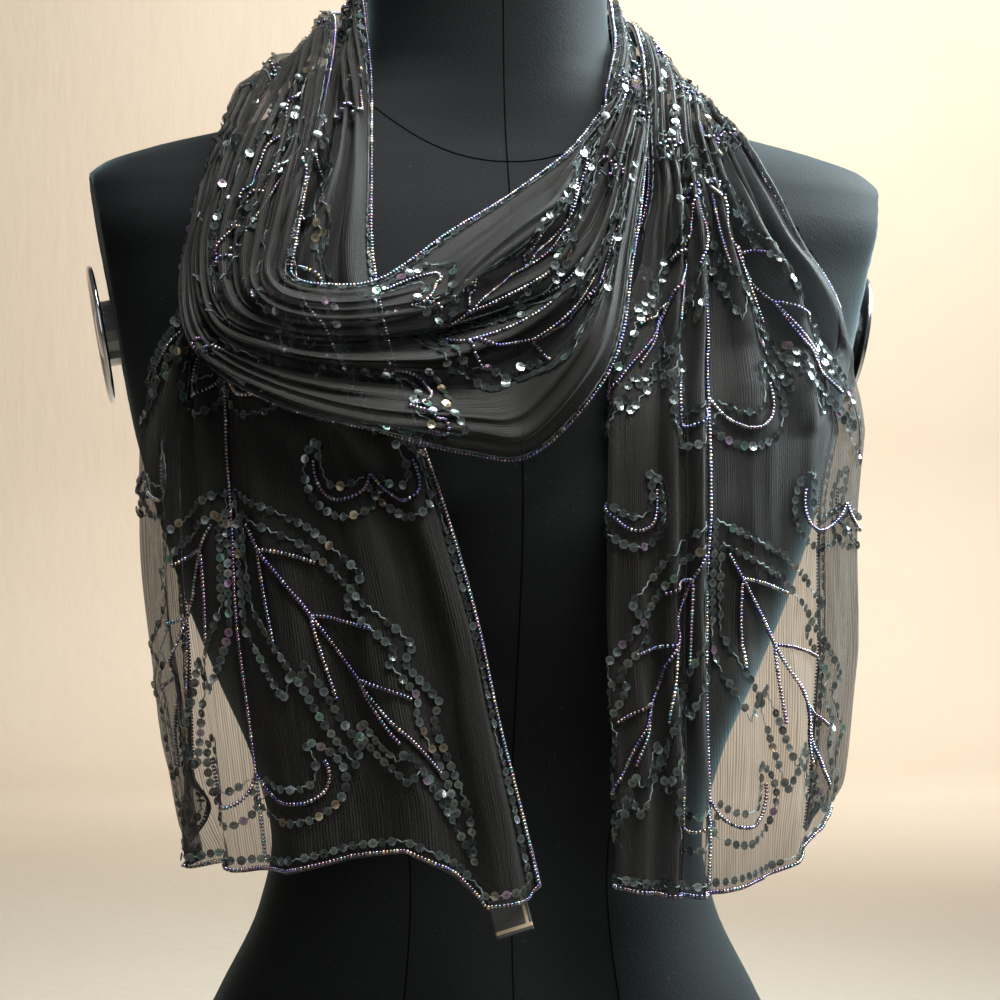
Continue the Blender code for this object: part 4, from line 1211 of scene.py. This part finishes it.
    def place(self, spots: Array) -> tuple[Array, Array]:
        """Carries flat places onto the worn cloth.

        Args:
            spots: Rows of place along and place across.

        Returns:
            Points and outward directions, mixed from the grid's four nearest.
        """
        r = np.clip(spots[:, 0] / self.length, 0, 1) * (len(self.along) - 1)
        c = np.clip((spots[:, 1] / self.half_width + 1) / 2, 0, 1) * (len(self.across) - 1)
        i = np.minimum(r.astype(int), len(self.along) - 2)
        j = np.minimum(c.astype(int), len(self.across) - 2)
        a, b = (r - i)[:, None], (c - j)[:, None]
        mixed = []
        for field_ in (self.grid, self.normal):
            low = field_[i, j] * (1 - b) + field_[i, j + 1] * b
            high = field_[i + 1, j] * (1 - b) + field_[i + 1, j + 1] * b
            mixed.append(low * (1 - a) + high * a)
        return mixed[0], unit(mixed[1])

    def limits(self) -> list[float]:
        """Places along the strip where the stretches meet, with both ends."""
        firsts = np.cumsum([0] + [len(stretch.sections) for stretch in STRETCHES])[:-1]
        return [float(self.knots[k]) for k in firsts] + [self.length]

    def build(self, companions: dict[str, list[bpy.types.Object]]) -> None:
        """Args:
            companions: For each stretch, the pieces that are sewn on it; not used.
        """
        silk = CrinkledSilk().build("crinkled_silk")
        limits = self.limits()
        cols = len(self.across)
        for k, stretch in enumerate(STRETCHES):
            first = int(round(limits[k] / self.length * (len(self.along) - 1)))
            last = int(round(limits[k + 1] / self.length * (len(self.along) - 1)))
            block = self.grid[first:last + 1]
            u = np.repeat(self.along[first:last + 1] / self.length, cols)
            v = np.tile(self.across / (2 * self.half_width) + 0.5, last + 1 - first)
            faces = [grid_faces(last + 1 - first, cols)]
            uv = np.stack([v, u], axis=-1)
            piece = make_piece(stretch.piece, block.reshape(-1, 3), faces, silk, uv=uv)
            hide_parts(stretch.node)
            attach(piece, "root")


# Bead and sequin work, laid out flat
@dataclass(frozen=True)
class Lobe:
    """One point of the leaf's ragged edge and the notch after it.

    Places are shares of the leaf's length, and distances out from its line in millimetres.
    """

    tip_at: float
    tip_out: float
    notch_at: float
    notch_out: float


@dataclass(frozen=True)
class Vein:
    """One pair of side veins: where it leaves the main vein and where both branches end."""

    start: float
    upper_at: float
    upper_out: float
    lower_at: float
    lower_out: float


@dataclass(frozen=True)
class LeafDrawing:
    """A ragged leaf that leans out from the stem toward the hem, sizes in millimetres."""

    root: tuple = (8.0, 10.0)
    tip: tuple = (105.0, 157.0)
    upper: tuple = (Lobe(0.34, 40, 0.36, 29), Lobe(0.55, 38, 0.56, 28), Lobe(0.69, 32, 0.72, 22))
    lower: tuple = (Lobe(0.44, -33, 0.40, -21), Lobe(0.68, -27, 0.63, -14), Lobe(0.80, -12, 0.78, -3))
    veins: tuple = (
        Vein(0.12, 0.24, 21, 0.32, -21), Vein(0.33, 0.45, 25, 0.52, -12), Vein(0.52, 0.64, 20, 0.70, 1),
    )
    main_bow: float = 10.0
    stem_gap: float = 3.2
    inner_gap: float = 7.6

    def turned(self, at: Array, out: Array) -> Array:
        """From share and distance out to across and toward the hem.

        Args:
            at: Share of the leaf's length.
            out: Distance from its line, positive away from the stem.

        Returns:
            Rows of across and toward the hem.
        """
        root, tip = np.array(self.root), np.array(self.tip)
        ahead = tip - root
        side = np.array([ahead[1], -ahead[0]]) / np.linalg.norm(ahead)
        return root + np.outer(at, ahead) + np.outer(out, side)

    def outline(self, inset: bool) -> Array:
        """The ragged edge; the inner row is the outer one drawn in toward the leaf's line."""
        rows = [(0.15, 28.0)]
        rows += [pair for lobe in self.upper for pair in
                 ((lobe.tip_at, lobe.tip_out), (lobe.notch_at, lobe.notch_out))]
        rows += [(0.91, 10.0), (1.0, 0.0), (0.90, -4.0)]
        rows += [pair for lobe in self.lower[::-1] for pair in
                 ((lobe.notch_at, lobe.notch_out), (lobe.tip_at, lobe.tip_out))]
        table = np.array(rows)
        if inset:
            table = np.stack([0.06 + 0.85 * table[:, 0], table[:, 1] * 0.70 + 1.5], axis=-1)
        edge = self.turned(table[:, 0], table[:, 1])
        gap = self.inner_gap if inset else self.stem_gap
        top = 11.0 if inset else 0.5
        foot = 52.0 if inset else 62.0
        stem_side = np.array([(gap + 1.5, foot), (gap, foot * 0.55), (gap, top)])
        return np.concatenate([[(gap, top)], edge, stem_side])

    def vein_lines(self) -> list[Array]:
        """The main vein, bowed by its share to the power 1.5, and its side branches."""
        at = np.linspace(0.04, 0.82, 30)
        lines = [self.turned(at, self.main_bow * at**1.5)]
        for vein in self.veins:
            start_out = self.main_bow * vein.start**1.5
            for end_at, end_out in ((vein.upper_at, vein.upper_out), (vein.lower_at, vein.lower_out)):
                t = np.linspace(0, 1, 14)
                along = vein.start + (end_at - vein.start) * t
                out = start_out + (end_out - start_out) * t**0.85
                lines.append(self.turned(along, out))
        return lines


@dataclass(frozen=True)
class ScrollDrawing:
    """A C-shaped scroll beside a centre, hooked back away from the hem, in millimetres."""

    spine: tuple = (
        (0.0, 0.0), (7.5, 8.0), (16.0, 12.5), (27.0, 13.5), (35.0, 9.5), (38.5, 1.0),
        (37.0, -8.5), (31.0, -16.5),
    )
    outer_gap: float = 8.5
    inner_gap: float = 7.0

    def rows(self) -> tuple[Array, Array, Array]:
        """The bead line, and the sequin rows outside and inside it.

        The outer row stands off by its gap times the cosine of a quarter turn times the share
        cubed, the inner one by its gap times the root of a half sine.
        """
        line = curve_through(self.spine, 60)
        t = np.linspace(0, 1, 60)
        ahead = unit(np.gradient(line, axis=0))
        side = np.stack([-ahead[:, 1], ahead[:, 0]], axis=-1)
        outer = line + side * (self.outer_gap * np.cos(np.pi / 2 * t**3))[:, None]
        inner = line - side * (self.inner_gap * np.sqrt(np.maximum(np.sin(np.pi * t), 0)))[:, None]
        return line[:50], outer, inner[3:]


class Work(Enum):
    """What a line is sewn with."""

    BEADS = "beads"
    SEQUINS = "sequins"


@dataclass
class Trail:
    """One sewn line: its flat places, along and across, and what it is sewn with."""

    spots: Array
    work: Work
    edge: bool = False


@dataclass(frozen=True)
class SideScrolls:
    """A smaller pair of scrolls out beside the leaf."""

    across: float = 92.0
    toward_hem: float = -7.0
    scale: float = 0.90


@dataclass
class Embroidery:
    """The stole's bead and sequin work: beads, sequins, their thread and the rolled hems."""

    cloth: StoleCloth
    repeat: float = 0.182
    first_leaf: float = 0.171
    repeats: int = 5
    scroll_from_leaf: float = 128.0
    bead_pitch: float = 0.00162
    bead_radius: float = 0.00096
    sequin_pitch: float = 0.0044
    sequin_radius: float = 0.0021
    edge_beads: float = 0.0010
    edge_sequins: float = 0.0052
    thread_radius: float = 0.00032
    hem_radius: float = 0.00055
    missing: float = 0.12
    plainer: tuple = ((0.70, 0.94), (1.43, 1.58))
    plainer_share: float = 0.65
    seed: int = 7

    def __post_init__(self) -> None:
        """Starts the fixed chance numbers."""
        self.chance = np.random.default_rng(self.seed)

    def motif_lines(self) -> list[tuple[Array, Work]]:
        """One repeat's lines in millimetres, across and toward the hem from the leaf's top."""
        leaf = LeafDrawing()
        lines = [(leaf.outline(False), Work.SEQUINS), (leaf.outline(True), Work.SEQUINS)]
        lines += [(vein, Work.BEADS) for vein in leaf.vein_lines()]
        bead, outer, inner = ScrollDrawing().rows()
        side = SideScrolls()
        centre = np.array([0.0, self.scroll_from_leaf])
        beside = np.array([side.across, side.toward_hem])
        for line, work in ((bead, Work.BEADS), (outer, Work.SEQUINS), (inner, Work.SEQUINS)):
            lines.append((line + centre, work))
            for sign in (1.0, -1.0):
                lines.append((line * np.array([sign, 1.0]) * side.scale + beside, work))
        return lines

    def trails(self) -> list[Trail]:
        """All lines on the flat strip, in metres."""
        length, half = self.cloth.length, self.cloth.half_width
        found = []
        for k in range(self.repeats):
            top = self.first_leaf + k * self.repeat
            for line, work in self.motif_lines():
                for sign in (1.0, -1.0):
                    u = top - line[:, 1] / 1000
                    v = sign * line[:, 0] / 1000
                    for place in (u, length - u):
                        in_gathers = any(low < place.mean() < high for low, high in self.plainer)
                        if not (in_gathers and self.chance.random() < self.plainer_share):
                            found.append(Trail(np.stack([place, v], -1), work))
        ends = np.array([0.004, length - 0.004])
        found.append(Trail(np.stack([ends, np.zeros(2)], -1), Work.BEADS, True))
        for inset, work in ((self.edge_beads, Work.BEADS), (self.edge_sequins, Work.SEQUINS)):
            for sign in (1.0, -1.0):
                v = np.full(2, sign * (half - inset))
                found.append(Trail(np.stack([[inset, length - inset], v], -1), work, True))
            for u in (inset, length - inset):
                v = np.array([inset - half, half - inset])
                found.append(Trail(np.stack([[u, u], v], -1), work, True))
        return found

    def strand(self, trail: Trail, pitch: float) -> tuple[Array, Array, Array, Array]:
        """Even places along a line on the worn cloth.

        Args:
            trail: The line.
            pitch: Distance from one place to the next.

        Returns:
            Points, outward directions, directions along the line, and places along the strip.
        """
        gaps = np.linalg.norm(np.diff(trail.spots, axis=0), axis=1)
        flat = np.concatenate([[0.0], np.cumsum(gaps)])
        dense = np.linspace(0, flat[-1], max(4, int(flat[-1] / 0.0006)))
        spots = np.stack([np.interp(dense, flat, trail.spots[:, k]) for k in (0, 1)], -1)
        points, outward = self.cloth.place(spots)
        steps = np.linalg.norm(np.diff(points, axis=0), axis=1)
        arc = np.concatenate([[0.0], np.cumsum(steps)])
        count = max(2, int(arc[-1] / pitch))
        at = (np.arange(count) + 0.5) * arc[-1] / count
        even = np.stack([np.interp(at, arc, points[:, k]) for k in range(3)], -1)
        normal = unit(np.stack([np.interp(at, arc, outward[:, k]) for k in range(3)], -1))
        ahead = unit(np.gradient(even, axis=0))
        return even, normal, ahead, np.interp(at, arc, spots[:, 0])

    def bead_tints(self, count: int) -> Array:
        """Colours of a strand: a slow drift through the palette with some chance jumps."""
        palette = np.array([
            (0.060, 0.080, 0.250), (0.125, 0.085, 0.215), (0.270, 0.140, 0.190),
            (0.070, 0.210, 0.250), (0.400, 0.290, 0.180), (0.520, 0.520, 0.560),
            (0.045, 0.045, 0.060), (0.110, 0.130, 0.240), (0.210, 0.125, 0.100),
        ])
        drift = np.cumsum(self.chance.normal(0, 0.40, count)) + self.chance.uniform(0, 9)
        jump = np.where(self.chance.random(count) < 0.40, self.chance.uniform(0, 9, count), 0)
        place = (drift + jump) % len(palette)
        i = place.astype(int) % len(palette)
        t = (place - np.floor(place))[:, None]
        colour = palette[i] * (1 - t) + palette[(i + 1) % len(palette)] * t
        return np.concatenate([colour * self.chance.uniform(0.6, 1.5, (count, 1)), np.ones((count, 1))], 1)

    def sequin_tints(self, count: int) -> Array:
        """Colours of a row of sequins: smoky grey-green, with a few bright glints."""
        smoke = np.array([0.140, 0.166, 0.164]) * self.chance.uniform(0.30, 1.6, (count, 1))
        glints = np.array([(0.50, 0.58, 0.60), (0.42, 0.27, 0.40), (0.20, 0.37, 0.29), (0.40, 0.31, 0.19)])
        pick = glints[self.chance.integers(0, len(glints), count)]
        share = (self.chance.random((count, 1)) < 0.13) * self.chance.uniform(0.5, 1.0, (count, 1))
        return np.concatenate([smoke * (1 - share) + pick * share, np.ones((count, 1))], 1)

    def bead_shape(self) -> tuple[Array, list[Array]]:
        """A barrel of two rings and two poles, its hole along X, radius 1."""
        angle = np.linspace(0, 2 * np.pi, 6, endpoint=False)
        ring = np.stack([np.cos(angle), np.sin(angle)], -1)
        low = np.insert(ring, 0, -0.44, axis=1)
        high = np.insert(ring, 0, 0.44, axis=1)
        points = np.concatenate([low, high, [(-0.80, 0, 0), (0.80, 0, 0)]])
        k = np.arange(6)
        n = (k + 1) % 6
        sides = np.stack([k, k + 6, n + 6, n], -1)[:, ::-1]
        caps = [np.stack([np.full(6, 12), n, k], -1), np.stack([np.full(6, 13), k + 6, n + 6], -1)]
        return points, [sides, np.concatenate(caps)]

    def sequin_shape(self) -> tuple[Array, list[Array]]:
        """A shallow cup of eight sides, closed above and below, radius 1."""
        angle = np.linspace(0, 2 * np.pi, 8, endpoint=False)
        ring = np.stack([np.cos(angle), np.sin(angle), np.full(8, 0.10)], -1)
        points = np.concatenate([ring, [(0, 0, -0.02), (0, 0, -0.09)]])
        k = np.arange(8)
        n = (k + 1) % 8
        top = np.stack([np.full(8, 8), k, n], -1)
        under = np.stack([np.full(8, 9), n, k], -1)
        return points, [np.concatenate([top, under])]

    def repeat_shape(
        self, shape: tuple[Array, list[Array]], centres: Array, frames: Array, radius: Array
    ) -> tuple[Array, list[Array]]:
        """Copies of a shape as one mesh: each centre plus its frame times the shape's points.

        Args:
            shape: Points and faces of one copy.
            centres: Middle of each copy.
            frames: Three directions of each copy, as rows.
            radius: Size of each copy.

        Returns:
            Points and faces of them all.
        """
        points, faces = shape
        placed = np.einsum("mk,nkj->nmj", points, frames) * radius[:, None, None]
        placed = placed + centres[:, None]
        starts = (np.arange(len(centres)) * len(points))[:, None, None]
        return placed.reshape(-1, 3), [
            (block[None] + starts).reshape(-1, block.shape[1]) for block in faces
        ]

    def thread_line(self, trail: Trail) -> tuple[Array, list[Array]]:
        """The stitching between sequins: a zigzag across the line, as a thin tube."""
        points, normal, ahead, _ = self.strand(trail, 0.0021)
        side = np.cross(normal, ahead)
        swing = np.where(np.arange(len(points)) % 2 == 0, 0.0005, -0.0005)
        swing = swing * self.chance.uniform(0.3, 1.5, len(points))
        lifted = points + side * swing[:, None] + normal * 0.0006
        return tube(lifted, normal, self.thread_radius, 3)

    def hem_cord(self, first: float, last: float, ends: Sequence[float]) -> tuple[Array, list[Array]]:
        """The rolled edge of one stretch: thin tubes along both edges and any hem."""
        parts = []
        half = self.cloth.half_width
        count = max(8, int((last - first) / 0.0025))
        u = np.linspace(first, last, count)
        for sign in (1.0, -1.0):
            points, normal = self.cloth.place(np.stack([u, np.full(count, sign * half)], -1))
            parts.append(tube(points, normal, self.hem_radius, 5))
        for end in ends:
            v = np.linspace(-half, half, 130)
            points, normal = self.cloth.place(np.stack([np.full(130, end), v], -1))
            parts.append(tube(points, normal, self.hem_radius, 5))
        return join_parts(parts)

    def build(self) -> dict[str, list[bpy.types.Object]]:
        """Builds the work of each stretch as joined pieces.

        Returns:
            For each stretch's cloth, the pieces sewn on it.
        """
        glass = SeedBeadGlass().build("seed_bead_glass")
        film = SmokySequin().build("sequin_film")
        thread = SewingThread().build("sewing_thread")
        roll = SewingThread((0.022, 0.021, 0.020, 1.0), (0.006, 0.006, 0.006, 1.0)).build("rolled_edge")
        limits = self.cloth.limits()
        beads: list[tuple[Array, ...]] = []
        sequins: list[tuple[Array, ...]] = []
        threads: list[tuple[float, tuple[Array, list[Array]]]] = []
        for trail in self.trails():
            if trail.work is Work.BEADS:
                points, normal, ahead, along = self.strand(trail, self.bead_pitch)
                beads.append((points, normal, ahead, along, self.bead_tints(len(points))))
            else:
                points, normal, ahead, along = self.strand(trail, self.sequin_pitch)
                sequins.append((points, normal, ahead, along, self.sequin_tints(len(points))))
                self.split_thread(trail, limits, threads)
        bead = [np.concatenate([row[k] for row in beads]) for k in range(5)]
        sequin = [np.concatenate([row[k] for row in sequins]) for k in range(5)]
        keep = self.chance.random(len(sequin[0])) > self.missing
        sequin = [column[keep] for column in sequin]
        companions: dict[str, list[bpy.types.Object]] = {}
        for k, stretch in enumerate(STRETCHES):
            first, last = limits[k], limits[k + 1]
            tag = stretch.piece.replace("silk_", "")
            pieces = [
                self.bead_piece("beads_" + tag, [c[(bead[3] >= first) & (bead[3] < last)] for c in bead], glass),
                self.sequin_piece(
                    "sequins_" + tag, [c[(sequin[3] >= first) & (sequin[3] < last)] for c in sequin], film
                ),
            ]
            points, faces = join_parts([part for at, part in threads if first <= at < last])
            pieces.append(make_piece("stitching_" + tag, points, faces, thread))
            ends = [end for end in (0.0, self.cloth.length) if end in (first, last)]
            points, faces = self.hem_cord(first, last, ends)
            pieces.append(make_piece("rolled_edge_" + tag, points, faces, roll))
            for piece in pieces:
                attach(piece, "root")
            companions[stretch.piece] = pieces
            log.info("%s: %s", stretch.piece, ", ".join(p.name for p in pieces))
        return companions

    def split_thread(self, trail: Trail, limits: Sequence[float], threads: list) -> None:
        """Adds the stitching of a line, cut where one stretch ends and the next begins."""
        if not trail.edge or trail.spots[0, 0] == trail.spots[-1, 0]:
            middle = float(np.clip(trail.spots[:, 0].mean(), 0.0, limits[-1] - 1e-6))
            threads.append((middle, self.thread_line(trail)))
            return
        for first, last in zip(limits[:-1], limits[1:]):
            low, high = np.clip([first, last], *trail.spots[:, 0])
            part = Trail(np.stack([[low, high], trail.spots[:, 1]], -1), trail.work)
            threads.append(((first + last) / 2, self.thread_line(part)))

    def bead_piece(self, name: str, rows: list[Array], finish: bpy.types.Material) -> bpy.types.Object:
        """All beads of one stretch as one mesh."""
        points, normal, ahead, _, tints = rows
        radius = self.bead_radius * self.chance.uniform(0.88, 1.10, len(points))
        side = unit(np.cross(normal, ahead))
        frames = np.stack([ahead, side, normal], axis=1)
        centres = points + normal * (self.bead_radius * 0.95 + 0.0002)
        shape = self.bead_shape()
        placed, faces = self.repeat_shape(shape, centres, frames, radius)
        return make_piece(name, placed, faces, finish, tint=np.repeat(tints, len(shape[0]), axis=0))

    def sequin_piece(self, name: str, rows: list[Array], finish: bpy.types.Material) -> bpy.types.Object:
        """All sequins of one stretch as one mesh, each tipped a little by chance."""
        points, normal, ahead, _, tints = rows
        count = len(points)
        side = unit(np.cross(normal, ahead))
        tip = self.chance.normal(0, 0.17, (count, 2))
        axis = unit(normal + ahead * tip[:, :1] + side * tip[:, 1:])
        first = unit(ahead - axis * (ahead * axis).sum(axis=1, keepdims=True))
        frames = np.stack([first, np.cross(axis, first), axis], axis=1)
        radius = self.sequin_radius * self.chance.uniform(0.92, 1.06, count)
        shape = self.sequin_shape()
        placed, faces = self.repeat_shape(shape, points + normal * 0.0011, frames, radius)
        spread = np.repeat(tints[:, None], len(shape[0]), axis=1)
        spread[:, :8, 3] = 0.85
        spread[:, 8:, 3] = 0.50
        spread[:, 8:, :3] *= 0.45
        return make_piece(name, placed, faces, finish, tint=spread.reshape(-1, 4), smooth=False)


@dataclass
class WovenTag:
    """The small label sewn behind the hem corner."""

    width: float = 0.0175
    height: float = 0.0170
    thickness: float = 0.0007
    centre: tuple = (-0.0058, -0.1203, 0.1828)
    turn: float = math.radians(10.5)
    tilt: float = math.radians(13.6)
    curl: float = 0.0012

    def build(self, form: DressForm) -> None:
        """Closed flap: a front and a back sheet that bow by the curl times the square of height."""
        level = np.array([math.cos(self.turn), math.sin(self.turn), 0.0])
        upright = np.array([0.0, 0.0, 1.0])
        across = level * math.cos(self.tilt) + upright * math.sin(self.tilt)
        along = upright * math.cos(self.tilt) - level * math.sin(self.tilt)
        back = np.array([-math.sin(self.turn), math.cos(self.turn), 0.0])
        s, t = np.meshgrid(np.linspace(0, 1, 25), np.linspace(0, 1, 25))
        s, t = s.ravel()[:, None], t.ravel()[:, None]
        middle = np.array(self.centre) + form.shift
        sheet = middle + across * (s - 0.5) * self.width + along * (t - 0.5) * self.height
        sheet = sheet - back * self.curl * (1 - t) ** 2
        front = sheet - back * self.thickness / 2
        rear = sheet + back * self.thickness / 2
        quads = grid_faces(25, 25)
        rim = np.concatenate([
            np.arange(25), np.arange(2, 26) * 25 - 1, 624 - np.arange(1, 25), np.arange(23, 0, -1) * 25,
        ])
        after = np.roll(rim, -1)
        sides = np.stack([after, rim, rim + 625, after + 625], -1)
        faces = [np.concatenate([quads, quads[:, ::-1] + 625, sides])]
        uv = np.tile(np.concatenate([s, t], axis=1), (2, 1))
        tag = make_piece("woven_tag", np.concatenate([front, rear]), faces, WovenLabel().build("tag_weave"), uv=uv)
        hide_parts("stole_label")
        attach(tag, "root")
        log.info("label: plain, with a border")


@dataclass
class Studio:
    """Pale sweep, soft lights and the camera."""

    azimuth: float = math.radians(-8)
    distance: float = 1.25
    target: tuple = (0.0064, 0.0, 0.3666)
    frame_width: float = 0.49

    def sweep(self) -> bpy.types.Object:
        """Floor that bends up into a wall: a profile carried straight across."""
        turn = np.linspace(0, np.pi / 2, 14)
        bend = 0.45
        wall = 2.60
        y = np.concatenate([[-3.2], wall - bend + bend * np.sin(turn), [wall]])
        z = np.concatenate([[0.0], bend - bend * np.cos(turn), [4.2]]) - 0.0002
        x = np.linspace(-3.5, 3.5, 9)
        grid = np.stack(np.broadcast_arrays(x[None, :], y[:, None], z[:, None]), -1)
        faces = [grid_faces(len(y), len(x))]
        sweep = make_piece("studio_sweep", grid.reshape(-1, 3), faces, PalePlaster().build("pale_plaster"))
        return sweep

    def lamp(self, name: str, place: Sequence[float], size: tuple, power: float, colour: tuple,
             spread: float, toward: tuple = (0.0, -0.05, 0.46)) -> None:
        """Soft rectangular lamp.

        Args:
            name: Its name.
            place: Where it stands.
            size: Width and height.
            power: Watts.
            colour: Red, green and blue.
            spread: Width of its beam in degrees.
            toward: Point that it is aimed at, the stole's loop unless given.
        """
        light = bpy.data.lights.new(name, "AREA")
        light.shape = "RECTANGLE"
        light.size, light.size_y = size
        light.energy = power
        light.color = colour
        light.spread = math.radians(spread)
        lamp = bpy.data.objects.new(name, light)
        bpy.context.scene.collection.objects.link(lamp)
        eye = np.array(place)
        self.aim(lamp, eye, np.array(toward) - eye)

    def aim(self, thing: bpy.types.Object, eye: Array, ahead: Array) -> None:
        """Puts a lamp or camera at eye, looking along ahead, upright."""
        ahead = ahead / np.linalg.norm(ahead)
        flat = math.hypot(ahead[0], ahead[1])
        thing.location = eye
        thing.rotation_euler = (math.atan2(flat, -ahead[2]), 0.0, math.atan2(-ahead[0], ahead[1]))

    def build(self, form: DressForm) -> None:
        """Builds the sweep, the lamps, the pale world and the camera."""
        self.sweep()
        self.lamp("key_softbox", (1.10, -0.75, 2.05), (1.0, 1.0), 22.0, (1.0, 0.985, 0.955), 110.0)
        self.lamp("rim_softbox", (1.05, 0.30, 1.20), (0.5, 0.9), 36.0, (0.78, 0.95, 1.0), 100.0)
        self.lamp("top_softbox", (0.15, -0.50, 1.60), (0.8, 0.6), 3.6, (0.97, 0.99, 1.0), 36.0, (0.0, -0.02, 0.56))
        self.lamp("wall_softbox", (1.15, 0.80, 2.00), (0.8, 0.8), 63.0, (1.0, 0.99, 0.97), 130.0, (0.45, 2.60, 0.60))
        self.lamp("fill_softbox", (-1.70, -1.50, 0.90), (1.4, 1.4), 2.2, (0.98, 0.98, 1.0), 120.0)
        world = bpy.data.worlds.new("pale_room")
        world.use_nodes = True
        world.node_tree.nodes["Background"].inputs["Color"].default_value = (0.92, 0.95, 1.0, 1.0)
        world.node_tree.nodes["Background"].inputs["Strength"].default_value = 0.07
        bpy.context.scene.world = world
        bpy.context.scene.view_settings.view_transform = "Standard"
        lens = bpy.data.cameras.new("view_camera")
        lens.sensor_width = 36.0
        lens.lens = lens.sensor_width * self.distance / self.frame_width
        camera = bpy.data.objects.new("view_camera", lens)
        bpy.context.scene.collection.objects.link(camera)
        back = np.array([math.sin(self.azimuth), -math.cos(self.azimuth), 0.0])
        eye = np.array(self.target) + form.shift + self.distance * back
        self.aim(camera, eye, -back)
        bpy.context.scene.camera = camera
        log.info("studio: sweep, five lamps, camera")


def main() -> None:
    """Builds the form, the stole and the studio."""
    logging.basicConfig(level=logging.INFO, format="%(name)s: %(message)s")
    form = DressForm()
    form.build()
    cloth = StoleCloth(form)
    companions = Embroidery(cloth).build()
    cloth.build(companions)
    WovenTag().build(form)
    Studio().build(form)


if __name__ == "__main__":
    main()
